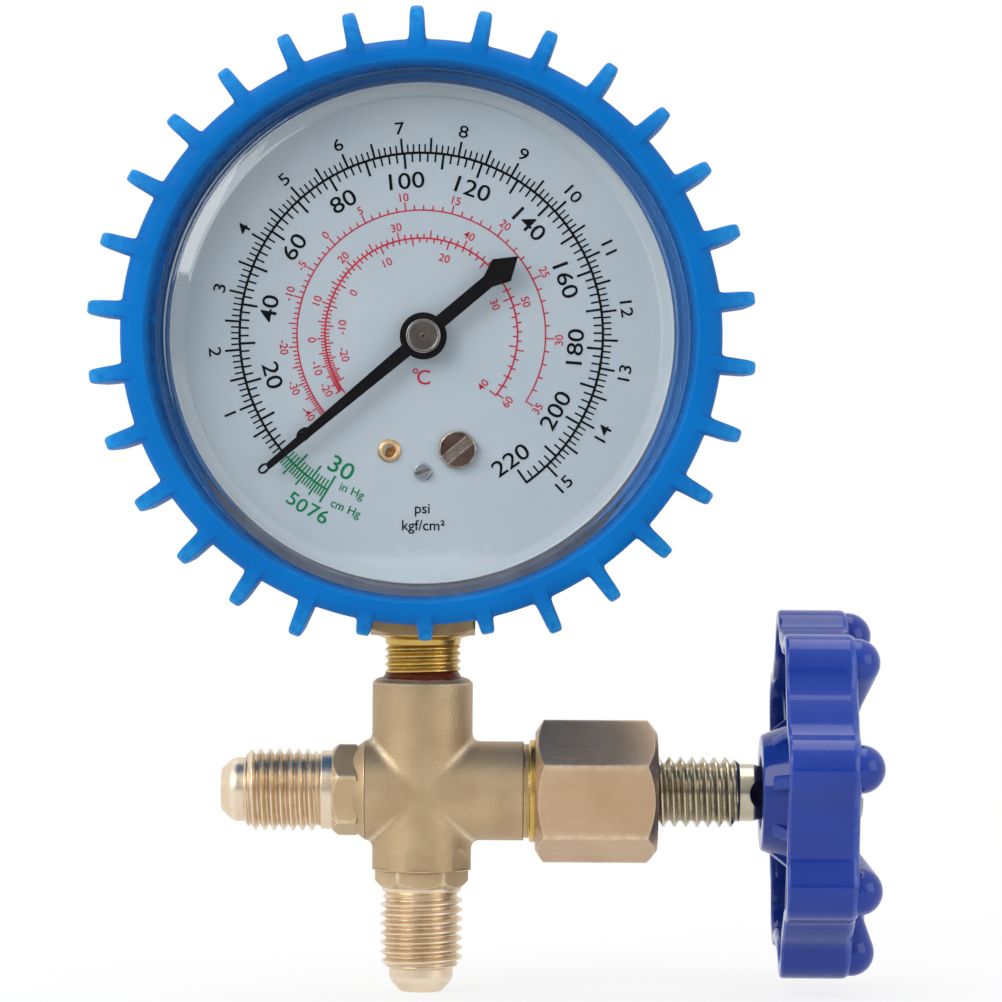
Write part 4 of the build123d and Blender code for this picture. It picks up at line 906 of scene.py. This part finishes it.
def wheel_rib(turn):
    """Rib under the wheel's face: an arch carried along a spoke, whose top slopes to the rim.

    Over a half turn s, its side is 1.25 cos s held within 1, and its height rises as 2.2 sin s held
    at the top, which bulges by 0.35 sin s.  The first column comes again at the end, so that the
    foot, sunk in the wheel's face, closes.
    """
    foot, hub_top, highest, rise_slope = 56.2, 45.9, 49.6, 1.25
    rim = float(lobed_radius(np.array(turn))) - 1.4
    reach = np.concatenate((np.linspace(6.5, 13.0, 8), np.linspace(14.5, rim, 6)))[:, None]
    top = np.minimum(hub_top + np.clip(reach - 7.5, 0, None) * rise_slope, highest)
    section = np.linspace(0, pi, 13)[None, :]
    side = np.clip(1.25 * np.cos(section), -1, 1)
    rise = np.clip(np.sin(section) * 2.2, 0, 1)
    along = foot - (foot - top) * rise + 0.35 * (1 - np.sin(section)) * (rise >= 1)
    side, along = (np.concatenate((part, part[:, :1]), axis=1) for part in (side, along))
    points = along_spoke(turn, reach, side, along)
    edge = np.zeros(points.shape[:2])
    # Painted highlight: the rib's top takes the lighter edge colour.
    edge[:, 4:10] = 0.6
    return closed_ends(points, edge)


def wheel_bump(turn):
    """Finger bump: a teardrop turned about a spoke, its lower half held just under the wheel's face.

    Its half width is a cone's, (reach - tail) tan slope, up to where the cone touches a ball, and
    then the ball's, sqrt(size^2 - (reach - centre)^2).
    """
    tail, centre, size = 11.62, 21.45, 3.2
    slope = radians(19.0)
    join = centre - size * sin(slope)
    ball = centre - size * np.cos(np.linspace(slope + 0.35, pi, 14))
    reach = np.unique(np.concatenate((np.linspace(tail, join, 12), ball)))[:, None]
    straight = (reach - tail) * tan(slope)
    round_part = np.sqrt(np.clip(size**2 - (reach - centre) ** 2, 0, None))
    half = np.where(reach < join, straight, round_part)
    section = even_turns(36)[None, :]
    rise = np.maximum(half * np.sin(section), np.maximum(-1.0, -half))
    points = along_spoke(turn, reach, half * np.cos(section), wheel_face + rise)
    return points, np.zeros(points.shape[:2])


lobe_turns = radians(lobe_phase) + np.arange(lobe_count) * 2 * pi / lobe_count
wheel_parts = [wheel_shell()]
wheel_parts += [wheel_rib(turn) for turn in lobe_turns]
wheel_parts += [wheel_bump(turn) for turn in lobe_turns]
make_piece("handwheel_dressed", wheel_parts, wheel_blue, "valve_stem", ("handwheel",),
           sharp=50)

# ---------------------------------------------------------------- boot
fin_count = 30
long_tip, short_tip = 43.3, 40.8
fin_turn, fin_waver, waver_side = 1.15, 0.5, 140
draft_front, draft_length, back_share = 13.6, 21.6, 0.5
boot_radius = 38.65
boot_front = 21.0
corner_round = 2.2
lip_radius = 35.9
fin_columns = np.array([
    (-4.05, 0), (-2.9, 0), (-2.0, 0), (-1.45, 0.005), (-1.24, 0.03), (-1.12, 0.09), (-1.04, 0.22),
    (-0.97, 0.45), (-0.9, 0.7), (-0.83, 0.86), (-0.75, 0.94), (-0.63, 0.98), (-0.42, 1), (0, 1),
])
fin_columns = np.concatenate((fin_columns[:-1], fin_columns[::-1] * (-1, 1)))[:-1]
fin_rows = np.array([
    (0, -8.0), (0.5, -7.98), (0.82, -7.85), (0.96, -7.6), (1, -7.1), (1, -2), (1, 3), (1, 8), (1, 12.0),
    (1, 15.6), (0.995, 16.4), (0.98, 17.1), (0.955, 17.7), (0.91, 18.3), (0.84, 18.8),
])


def boot_profile():
    """Boot's outline as rows (radius, along, edge), with the rise of a fin at each of them.

    The back, the wall with fin_rows' rises, a quarter circle at the front corner, over which the fins
    run out as (1 - way)^1.5, and the lip with the inner side.
    """
    back = soft_profile([(30.0, -9.05), (30.0, -10.55), (boot_radius, -10.55), (boot_radius, -8.0)],
                        [0, 0.4, 1.8, 0], 6)
    wall = np.column_stack((np.full(len(fin_rows), boot_radius), fin_rows[:, 1], 0 * fin_rows[:, 0]))
    way = np.linspace(0, 1, 12)
    corner = np.column_stack((boot_radius - corner_round + corner_round * np.cos(way * pi / 2),
                              boot_front - corner_round + corner_round * np.sin(way * pi / 2), 0 * way))
    lip = soft_profile([corner[-1, :2], (lip_radius, boot_front), (34.98, 17.95), (36.65, 17.45),
                        (36.65, -9.05), (30.0, -9.05)], [0, 0.5, 0.15, 0.1, 0.1, 0], 8)
    profile = np.concatenate((back[:-1], wall, corner[1:], lip[1:]))
    fading = fin_rows[-1, 0] * (1 - way[1:]) ** 1.5
    rise = np.concatenate((np.zeros(len(back) - 1), fin_rows[:, 0], fading, np.zeros(len(lip) - 1)))
    return profile, rise


def boot_stretch(radius, along, turns):
    """How far the rubber is stretched from round at each point, for columns of radius and along.

    The outer side gains a cos^2 t - b cos t and loses c times the square of how far t points down.
    The rim's inner side does the same with smaller a and larger b and c.
    """
    outer, rim = radius > 37.0, (along > 18.0) & (radius < 37.0)
    down = np.clip(-np.sin(turns), 0, None) ** 2
    across = np.cos(turns)
    stretch = outer * (0.72 * across**2 - 0.19 * across - 0.75 * down)
    return stretch + rim * (0.3 * across**2 - 0.3 * across - 1.0 * down)


def boot_surface():
    """Boot turned from its profile, with fins raised from it.

    A point's radius is the profile's plus rise(row) x width(column) x fin height, plus the rubber's
    stretch.  Columns crowd at the sides of each fin and draw together towards its back, as a mould's
    draft asks.  The three lowest fins are short, and the fins stand a little closer on one side.
    """
    profile, rise = boot_profile()
    radius, along = profile[:, :1], profile[:, 1:2]
    step = 2 * pi / fin_count
    middle = pi / 2 + np.arange(fin_count) * step
    low = np.abs((middle - 1.5 * pi + pi) % (2 * pi) - pi) < 1.5 * step
    middle = middle + np.radians(fin_turn + fin_waver * np.cos(middle - radians(waver_side)))
    spread = np.clip(1 - (draft_front - along) / draft_length * (1 - back_share), back_share, 1)
    beside = fin_columns[None, :, 0]
    offset = beside * (spread + (1 - spread) * np.abs(beside / fin_columns[0, 0]) ** 3)
    turns = (middle[None, :, None] + offset[:, None, :] / boot_radius).reshape(len(profile), -1)
    turns = np.concatenate((turns, turns[:, :1] + 2 * pi), axis=1)
    tips = np.where(low, short_tip, long_tip) - boot_radius
    height = np.repeat(tips, len(fin_columns))
    height = np.append(height, height[0])
    width = np.tile(fin_columns[:, 1], fin_count)
    width = np.append(width, width[0])
    raised = rise[:, None] * width[None, :]
    points = place(gauge_axis, radius + raised * height + boot_stretch(radius, along, turns), turns, along)
    # Feet of the fins, where they meet the wall, are marked for painted shade.
    foot = (rise[:, None] > 0.1) & (width > 0.01) & (width < 0.3)
    # Edge value: the fins' rise, which paints a highlight in the lighter colour, and 0.3 of the outline's
    # corners; less 0.3 at the fins' feet for painted shade.
    edge = np.maximum(raised, 0.3 * profile[:, 2:]) - 0.3 * foot
    # Painted shade: the lip's inner slope down to the lens takes the full dark colour.
    shade = (along > 17.0) & (along < 20.6) & (radius < 36.8)
    return points, np.where(shade, -1.0, edge)


make_piece("gauge_boot_dressed", [boot_surface()], boot_blue, "manifold", ("gauge_boot",),
           sharp=60)

# ---------------------------------------------------------------- window, gasket and case
window_corners = [(0, 18.7), (31.0, 18.7), (32.9, 18.1), (34.1, 16.9), (34.1, 15.7), (35.25, 15.7),
                  (35.25, 17.4), (33.5, 19.35), (31.3, 20.0), (0, 20.0)]
window_rounds = [0, 1.0, 1.0, 0.5, 0.1, 0.1, 1.2, 1.4, 1.4, 0]
make_piece("window_dressed", [turned(gauge_axis, window_corners, window_rounds, even_turns(256), 8)], acrylic,
           "manifold", ("window",), sharp=50)
seat_turns = even_turns(192)
sag_up, sag_left, sag_tall = 0.39, 0.33, 0.195
seat_sag = sag_up * np.sin(seat_turns) - sag_left * np.cos(seat_turns)
seat_sag = seat_sag + sag_tall * (np.cos(2 * seat_turns) - 1)


def seat_ring(rows, inner=seat_sag):
    """Ring about the gauge's axis: each row is (share, radius, height).

    Radius = the row's own + share x inner(t).  Inner is the seat's sag, a sin t - b cos t +
    c (cos 2t - 1), if it isn't given.
    """
    rows = np.array(rows)
    radius = rows[:, 1:2] + rows[:, :1] * inner[None, :]
    return place(gauge_axis, radius, seat_turns[None, :], rows[:, 2:]), np.zeros(radius.shape)


gasket = seat_ring([(1, 33.26, 12.6), (0, 35.1, 12.6), (0, 35.3, 12.8), (0, 35.3, 14.8), (0, 35.18, 15.08),
                    (0, 34.9, 15.2), (1, 33.6, 15.2), (1, 33.35, 15.1), (1, 33.26, 14.9), (1, 33.26, 12.6)])
make_piece("gasket_ring", [gasket], gasket_lightened, "manifold", ("window_gasket",))


def fold_surface():
    """Fold of the boot's rubber between gasket and case: an L whose foot falls short at the bottom.

    Its rows are (share, radius, height), and a row's radius = (1 - share) radius + share inner(t).
    Inner follows the seat, draws back by up to 1.8 at the bottom and wavers five times round.
    """
    rows = np.array([
        (1, 0, 15.25), (0.94, 35.3, 15.21), (0.05, 35.3, 15.21), (0, 35.32, 15.2), (0, 35.32, 13.0),
        (0, 35.7, 13.0), (0, 35.7, 17.3), (0, 35.62, 17.4), (0, 35.4, 17.4), (0, 35.32, 17.3),
        (0, 35.3, 15.6), (0.05, 35.3, 15.52), (0.94, 35.3, 15.5), (1, 0, 15.42), (1, 0, 15.25),
    ])
    low = np.clip(-np.sin(seat_turns) * 1.9 - 0.75, 0, 1)
    inner = 33.3 + seat_sag + 1.8 * smooth(low) + 0.04 * np.sin(5 * seat_turns)
    rows[:, 1] *= 1 - rows[:, 0]
    return seat_ring(rows, inner)


# The fold takes the lightened rubber: painted light.
make_piece("gasket_fold", [fold_surface()], fold_blue_lightened, "manifold")
rim_ring = seat_ring([(1, 33.05, 12.55), (1, 33.05, 16.1), (1, 33.15, 16.15), (1, 33.25, 16.1),
                      (1, 33.25, 12.1), (0.6, 32.7, 12.1), (0.6, 32.7, 12.53), (1, 33.05, 12.55)])
make_piece("dial_rim", [rim_ring], dial_paint, "manifold")

# ---------------------------------------------------------------- dial print
# Angles on the dial are in degrees clockwise from straight up.
ink_lift = 0.012
ink_thickness = 0.03
arc_lift = 0.006
scale_radius = 23.96
outer_circle, inner_circle = 16.4, 12.7
dial_shift = (-0.3, 0.27)
nought_turn = -130.8
psi_step = 1.25
bar_step = 17.78
vacuum_turn = -18.4


def dial_points(right, up, lift):
    """Points on the dial's face from millimetres right of and above its centre, and above its face."""
    right, up, lift = np.broadcast_arrays(right, up, lift)
    return np.stack((right + dial_shift[0], -(dial_face + lift), gauge_height + dial_shift[1] + up), -1)


def ink_strips(starts, ends, width):
    """Thin closed bars between pairs of points: each is a capped five-point ring at two heights."""
    starts, ends = np.atleast_2d(starts).astype(float), np.atleast_2d(ends).astype(float)
    way = ends - starts
    way /= np.linalg.norm(way, axis=1)[:, None]
    across = np.stack((-way[:, 1], way[:, 0]), 1) * width / 2
    ring = np.stack((starts - across, ends - across, ends + across, starts + across, starts - across), 1)
    middle = np.broadcast_to(ring[:, :4].mean(axis=1)[:, None], ring.shape)
    flat = np.stack((middle, ring, ring, middle), 1)
    lift = np.array([0, 0, ink_thickness, ink_thickness])[None, :, None] + ink_lift
    points = dial_points(flat[..., 0], flat[..., 1], lift)
    return [(strip, np.zeros(strip.shape[:2])) for strip in points]


def ticks(turns, inner, outer, width):
    """Radial strokes at angles clockwise from straight up."""
    turn = np.radians(np.atleast_1d(turns))
    spoke = np.stack((np.sin(turn), np.cos(turn)), 1)
    return ink_strips(spoke * inner, spoke * outer, width)


def ink_arc(radius, first, last, width):
    """Thin closed band along a circle from one angle to another, clockwise from straight up."""
    turn = np.radians(np.linspace(first, last, 160))[:, None]
    ring = np.array([(-0.5, 0), (0.5, 0), (0.5, 1), (-0.5, 1), (-0.5, 0)])
    out = radius + ring[None, :, 0] * width
    lift = ink_lift + arc_lift + ring[None, :, 1] * ink_thickness
    points = dial_points(out * np.sin(turn), out * np.cos(turn), lift)
    return closed_ends(points, np.zeros(points.shape[:2]))


def letter_mesh(text, size):
    """One label as (points about its own middle, faces), from the plain typeface made a little bolder."""
    curve = bpy.data.curves.new("lettering", "FONT")
    curve.body = text
    curve.size = size
    curve.align_x = "CENTER"
    curve.align_y = "CENTER"
    curve.resolution_u = 4
    curve.extrude = ink_thickness / 2
    curve.offset = 0.004 * size + 0.006
    letter = bpy.data.objects.new("lettering", curve)
    bpy.context.scene.collection.objects.link(letter)
    bpy.context.view_layer.update()
    shaped = bpy.data.meshes.new_from_object(letter.evaluated_get(bpy.context.evaluated_depsgraph_get()))
    points = np.empty(len(shaped.vertices) * 3)
    shaped.vertices.foreach_get("co", points)
    points = points.reshape(-1, 3)
    points[:, :2] -= (points[:, :2].min(axis=0) + points[:, :2].max(axis=0)) / 2
    faces = [list(face.vertices) for face in shaped.polygons]
    bpy.data.objects.remove(letter)
    bpy.data.meshes.remove(shaped)
    return points, faces


def words(name, labels, material, stretch=1.0):
    """Lettering as one thin mesh: each label is (text, size, radius or place, angle or None).

    A label with an angle stands along its circle, its top outwards above the middle of the dial and
    inwards below it.  One without an angle stands upright at its place (right, up).  Stretch
    widens every letter.
    """
    corners, rings = [], []
    count = 0
    for text, size, spot, turn in labels:
        flat, faces = letter_mesh(text, size)
        flat[:, 0] *= stretch
        if turn is None:
            lean, place_at = 0.0, np.array(spot, float)
        else:
            lean = -radians(turn) + (pi if abs(turn) > 90 else 0)
            place_at = spot * np.array((sin(radians(turn)), cos(radians(turn))))
        right = flat[:, 0] * cos(lean) - flat[:, 1] * sin(lean) + place_at[0]
        up = flat[:, 0] * sin(lean) + flat[:, 1] * cos(lean) + place_at[1]
        corners.append(dial_points(right, up, flat[:, 2] + ink_lift + ink_thickness / 2))
        rings += [[corner + count for corner in face] for face in faces]
        count += len(flat)
    mesh = bpy.data.meshes.new(name)
    mesh.from_pydata((np.concatenate(corners) * MM).tolist(), [], rings)
    mesh.validate()
    mesh.materials.append(material)
    piece = bpy.data.objects.new(name, mesh)
    bpy.context.scene.collection.objects.link(piece)
    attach(piece, "manifold")


def psi_turn(value):
    """Angle of a value on the main scale, in psi."""
    return nought_turn + psi_step * np.asarray(value, float)


def bar_turn(value):
    """Angle of a value on the outer scale, in kgf/cm2."""
    return nought_turn + bar_step * np.asarray(value, float)


def vacuum_part(share):
    """Angle of a share of the whole vacuum, which runs back from nought."""
    return nought_turn + vacuum_turn * np.asarray(share, float)


def fitted_scale(marks):
    """Angle of any value of a temperature scale: a smooth curve through its numbered marks."""
    return np.poly1d(np.polyfit(list(marks), list(marks.values()), 4))


def scale_ticks(turn_of, values, every, circle, plain, long, unit=1):
    """Strokes at whole values: plain, or long at each multiple of every; both are (length, width).

    A length is positive outwards from the circle, and a unit is how many values make one of the
    scale's own.
    """
    strokes = []
    for chosen, (length, width) in ((values % every != 0, plain), (values % every == 0, long)):
        strokes += ticks(turn_of(values[chosen] / unit), circle, circle + length, width)
    return strokes


black_marks = scale_ticks(psi_turn, np.arange(0, 221, 2), 10, scale_radius, (-1.2, 0.23), (-2.05, 0.31))
black_marks += scale_ticks(bar_turn, np.arange(0, 151), 5, scale_radius, (1.15, 0.21), (2.0, 0.29), 10)
black_marks += [ink_arc(scale_radius, nought_turn, float(psi_turn(220)) + 0.3, 0.32)]
make_piece("dial_scale_black", black_marks, ink_black, "manifold")

outer_turns = {-40: -125.6, -30: -113.2, -20: -95.8, -10: -73.2, -5: -60.5, 0: -44.4, 5: -26.7, 10: -7.6,
               15: 14.3, 20: 37.2, 25: 62.7, 30: 92, 35: 122.2}
near_turns = {-20: -120.7, -10: -108.3, 0: -93.4, 10: -72.3, 20: -45.8, 30: -13.6, 40: 25.6, 50: 72.3,
              60: 127.7}
inner_turns = {-20: -105, -10: -85.3, 0: -58.9, 10: -25.6, 20: 16.5, 30: 67.7, 40: 129}
red_marks = []
for marks, (first, last), circle, plain, long in (
    (outer_turns, (-44, 35), outer_circle, (0.65, 0.17), (1.15, 0.17)),
    (near_turns, (-25, 60), inner_circle, (0.6, 0.18), (1.05, 0.18)),
    (inner_turns, (-30, 40), inner_circle, (-0.6, 0.18), (-1.05, 0.18)),
):
    red_marks += scale_ticks(fitted_scale(marks), np.arange(first, last + 1), 5, circle, plain, long)
red_marks += [ink_arc(outer_circle, -131.5, 122.6, 0.18), ink_arc(inner_circle, -128.0, 129.2, 0.22)]
make_piece("dial_scale_red", red_marks, ink_red, "manifold")

inches, centimetres = 15, 19
vacuum_turns = [float(vacuum_part(share)) for share in (0, 1)]
green_marks = []
for count, plain, long in ((inches, (-1.2, 0.2), (-2.15, 0.26)), (centimetres, (1.25, 0.2), (1.95, 0.24))):
    green_marks += scale_ticks(vacuum_part, np.arange(1, count), 5, scale_radius, plain, long, count)
green_marks += ticks(vacuum_turns[1], scale_radius - 2.1, scale_radius + 1.95, 0.26)
green_marks += [ink_arc(scale_radius, vacuum_turns[1], vacuum_turns[0], 0.26)]
make_piece("dial_scale_green", green_marks, ink_green, "manifold")

black_words = [(str(value), 3.05, 20.35, float(psi_turn(value))) for value in range(0, 221, 20)]
black_words += [(str(value), 2.3, 27.3, float(bar_turn(value))) for value in range(0, 16)]
words("dial_numbers_black", black_words, ink_black, 1.2)
words("dial_units_black", [("psi", 1.95, (0.3, -23.2), None), ("kgf/cm²", 1.95, (0.45, -25.4), None)],
      ink_black)
red_words = []
for turns_of, circle in ((outer_turns, 18.2), (near_turns, 14.45), (inner_turns, 10.5)):
    red_words += [(str(value), 1.5, circle, turn) for value, turn in turns_of.items()]
red_words += [("°", 2.6, (-0.72, -4.85), None), ("C", 2.75, (0.36, -5.66), None)]
words("dial_numbers_red", red_words, ink_red)
words("dial_numbers_green", [("30", 3.2, 20.5, -149.6), ("50", 2.6, 27.5, -144.0), ("76", 2.6, 27.3, -150.5)],
      ink_green, 1.15)
words("dial_units_green", [("in Hg", 1.6, 22.75, -156.6), ("cm Hg", 1.6, 25.2, -157.0)], ink_green)

# ---------------------------------------------------------------- dial screws, eyelet and pointer
def slotted_head(centre, radius, height, slot, slot_turn, round_over, slot_floor_wear_and_shade):
    """Screw head as heights over a disc whose columns crowd at the slot's sides.

    Height = a rounded rim over the distance from the middle, less the slot's depth where the
    distance from the slot's line is under half its width.  A wall closes each side between the
    crown and the flat underside.  The last argument tints the slot's floor: above 0 the lighter
    rubbed colour, below 0 the finish's dark colour as painted shade.
    """
    outside = -radius * np.cos(np.linspace(0, np.arccos((slot / 2 + 0.09) / radius), 16))
    near_slot = -slot / 2 + np.array([-0.06, -0.03, 0.0, 0.04, 0.1])
    side = np.concatenate((outside, near_slot, [-slot / 4, 0]))
    side = np.concatenate((side, -side[-2::-1]))[:, None]
    way = np.sin(np.linspace(-pi / 2, pi / 2, 33))[None, :]
    half = np.sqrt(np.clip(radius**2 - side**2, 0, None))
    ahead = half * way
    distance = np.hypot(side, ahead)
    rim = np.clip((distance - (radius - round_over)) / round_over, 0, 1)
    top = height - round_over * (1 - np.sqrt(np.clip(1 - rim**2, 0, 1)))
    depth = np.clip((slot / 2 + 0.03 - np.abs(side)) / 0.06, 0, 1) * min(height * 0.6, 0.55)
    top = np.maximum(top - depth, 0.02)
    turn = radians(slot_turn)
    right = centre[0] + ahead * cos(turn) - side * sin(turn)
    up = centre[1] + ahead * sin(turn) + side * cos(turn)
    rubbed = (np.abs(np.abs(side) - slot / 2 - 0.05) < 0.05) | (rim > 0.3)
    edge = np.where(rubbed, 0.9, 0) + slot_floor_wear_and_shade * (depth > 0.1)
    crown = dial_points(right, up, top)
    under = dial_points(right, up, 0 * top)
    wall = np.stack((crown[:, -1], under[:, -1]), 1)
    other = np.stack((under[:, 0], crown[:, 0]), 1)
    sheets = [(crown, edge), (under[:, ::-1], 0 * edge)]
    return sheets + [(wall, np.full(wall.shape[:2], 0.3)), (other, np.full(other.shape[:2], 0.3))]


large_head = slotted_head((4.9, -15.2), radius=2.5, height=1.0, slot=1.05, slot_turn=40.0, round_over=0.3,
                          slot_floor_wear_and_shade=0.45)
# The small screw's slot floor is painted shade.
small_head = slotted_head((0.3, -18.1), radius=1.15, height=0.6, slot=0.42, slot_turn=20.0, round_over=0.25,
                          slot_floor_wear_and_shade=-1.0)
make_piece("dial_screw_large", large_head, nickel_brown, "manifold", ("dial_screws",),
           sharp=30)
make_piece("dial_screw_small", small_head, zinc_steel, "manifold", sharp=30)

eyelet_axis = axes(dial_points(-4.1, -15.4, 0), front, (1, 0, 0))
eyelet = soft_profile([(0, -0.4), (0.75, -0.4), (0.75, -0.1), (1.55, -0.1), (1.55, 0.18), (1.15, 0.5),
                       (0.85, 0.42), (0.7, -0.38), (0, -0.38)],
                      [0, 0.1, 0.1, 0.1, 0.15, 0.2, 0.1, 0.02, 0], 5)
eyelet[:, 2] = np.where((eyelet[:, 0] < 0.83) & (eyelet[:, 1] > -0.39), -1.0, eyelet[:, 2])
make_piece("dial_eyelet_dressed", [lathe(eyelet_axis, eyelet, even_turns(64))], eyelet_gold, "manifold",
           ("dial_eyelet",))
bush_low, bush_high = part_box("pointer_bush")
bush_radius = (bush_high[0] - bush_low[0]) / 2 / MM
bush_back, bush_front = -bush_high[1] / MM, -bush_low[1] / MM
cap_face = bush_front - 0.12
dimple_foot = bush_front - 0.25
cap_profile = soft_profile(
    [(0, bush_back), (bush_radius, bush_back), (bush_radius, bush_front),
     (bush_radius - 0.3, bush_front + 0.02), (bush_radius - 0.5, cap_face), (0.42, cap_face),
     (0.36, bush_front), (0.16, bush_front), (0.12, dimple_foot), (0, dimple_foot)],
    [0, 0.05, 0.12, 0.1, 0.08, 0.05, 0.04, 0.03, 0.02, 0], 4)
cap_profile[:, 2] = np.where(cap_profile[:, 0] < 0.3, -1.0, cap_profile[:, 2])
make_piece("pointer_cap", [lathe(gauge_axis, cap_profile, even_turns(96))], cap_nickel, "pointer",
           ("pointer_bush",), sharp=30)

# ---------------------------------------------------------------- other frame pieces
frame_finishes = {
    "dial_plate": dial_paint, "gauge_case": case_black, "case_screws": zinc_steel,
    "movement_front_plate": brass_yellow, "movement_back_plate": brass_yellow,
    "movement_posts": brass_yellow, "movement_screws": zinc_steel, "hairspring": bronze,
    "bourdon_tube": bronze, "pointer": pointer_black, "pinion_shaft": zinc_steel,
    "sector_gear": brass_yellow, "sector_arbor": zinc_steel, "tail_pin": zinc_steel,
    "link": brass_yellow, "tube_tip": bronze, "tip_pin": zinc_steel, "seat_disc": seat_white,
    "stem_o_rings": gasket_black, "handwheel_washer": zinc_steel, "handwheel_screw": zinc_steel,
}
for label, finish in frame_finishes.items():
    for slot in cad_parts[label].material_slots:
        slot.material = finish


# ---------------------------------------------------------------- floor, light and camera
def floor_material():
    """Pale diffuse floor that reads white to the camera and in reflections, and still takes a shadow."""
    material = bpy.data.materials.new("pale floor")
    tree = cleared(material)
    faint = use(tree, mottle, scale=6.0, first=tint(246, 246, 246), second=tint(241, 242, 243))["Color"]
    matt = node(tree, "BsdfDiffuse", {"Color": faint})
    glow = node(tree, "Emission", {"Color": (1, 1, 1, 1), "Strength": 1.0})
    rays = node(tree, "LightPath").outputs
    seen = reckon(tree, "MAXIMUM", rays["Is Camera Ray"], rays["Is Glossy Ray"])
    seen = reckon(tree, "MAXIMUM", seen, rays["Is Transmission Ray"])
    distance = node(tree, "VectorMath", {0: own_place(tree)}, operation="LENGTH").outputs["Value"]
    share = times(tree, seen, ranged(tree, distance, 0.06, 0.3, 0.8, 1.0))
    mixed = node(tree, "MixShader", {0: share, 1: matt.outputs[0], 2: glow.outputs[0]})
    node(tree, "OutputMaterial", {"Surface": mixed.outputs[0]})
    return material


def build_floor():
    """Plain pale floor: a disc 4 m across, just below the bottom port's lowest edge."""
    turn = even_turns(96)[None, :]
    radius = np.array([0, 150, 600, 2000])[:, None]
    low = cad_box[0][2] / MM - 0.02
    points = np.stack((radius * np.cos(turn), radius * np.sin(turn), low + 0 * radius * turn), -1)
    rows, columns = points.shape[:2]
    index = np.arange(rows * columns).reshape(rows, columns)
    quads = np.stack((index[:-1, :-1], index[1:, :-1], index[1:, 1:], index[:-1, 1:]), -1).reshape(-1, 4)
    mesh = bpy.data.meshes.new("floor")
    mesh.from_pydata((points.reshape(-1, 3) * MM).tolist(), [], quads.tolist())
    mesh.materials.append(floor_material())
    floor = bpy.data.objects.new("floor", mesh)
    bpy.context.scene.collection.objects.link(floor)


def build_world():
    """Studio room: white to the camera, darker to the front where it is mirrored, and a grey light.

    What a mirrored ray sees falls towards the front and again in a small patch behind the camera.
    """
    world = bpy.data.worlds.new("studio")
    bpy.context.scene.world = world
    tree = cleared(world)
    direction = node(tree, "SeparateXYZ", {0: node(tree, "TexCoord").outputs["Generated"]}).outputs
    ahead = times(tree, direction["Y"], -1.0)
    front_dark = ranged(tree, ahead, 0.1, 0.95, 1.0, 0.5)
    behind_camera = ranged(tree, ahead, 0.978, 0.992, 1.0, 0.12)
    rays = node(tree, "LightPath").outputs
    mirrored = reckon(tree, "MAXIMUM", rays["Is Glossy Ray"], rays["Is Transmission Ray"])
    lit = times(tree, times(tree, front_dark, behind_camera), mirrored)
    seen = reckon(tree, "MAXIMUM", rays["Is Camera Ray"], mirrored)
    grey = times(tree, reckon(tree, "SUBTRACT", 1.0, seen), 0.55)
    strength = plus(tree, reckon(tree, "MAXIMUM", rays["Is Camera Ray"], lit), grey)
    background = node(tree, "Background", {"Color": (1, 1, 1, 1), "Strength": strength})
    node(tree, "OutputWorld", {"Surface": background.outputs[0]})


def add_lamp(name, size, power, place_at, aim):
    """Soft square lamp at a place in metres, turned to face a point."""
    data = bpy.data.lights.new(name, "AREA")
    data.size = size
    data.energy = power
    lamp = bpy.data.objects.new(name, data)
    way = np.array(aim, float) - np.array(place_at, float)
    level = float(np.hypot(way[0], way[1]))
    lamp.location = place_at
    lamp.rotation_euler = (float(np.arctan2(level, -way[2])), 0.0, -float(np.arctan2(way[0], way[1])))
    bpy.context.scene.collection.objects.link(lamp)


def build_camera():
    """Camera in front of the part, a little to its right, looking level along +Y."""
    data = bpy.data.cameras.new("camera")
    data.sensor_width = 36.0
    data.lens = 162.6
    camera = bpy.data.objects.new("camera", data)
    camera.location = (0.01037, -0.61, 0.05286)
    camera.rotation_euler = (pi / 2, radians(-0.4), 0.0)
    bpy.context.scene.collection.objects.link(camera)
    bpy.context.scene.camera = camera


build_floor()
build_world()
add_lamp("left soft box", 0.5, 3.2, (-0.55, -0.45, 0.45), (0, 0, 0.04))
add_lamp("right soft box", 0.5, 1.4, (0.65, -0.4, 0.25), (0.02, 0, 0.04))
add_lamp("top soft box", 0.6, 2.6, (0.0, 0.05, 0.75), (0, 0, 0.04))
build_camera()
bpy.context.scene.view_settings.view_transform = "Standard"
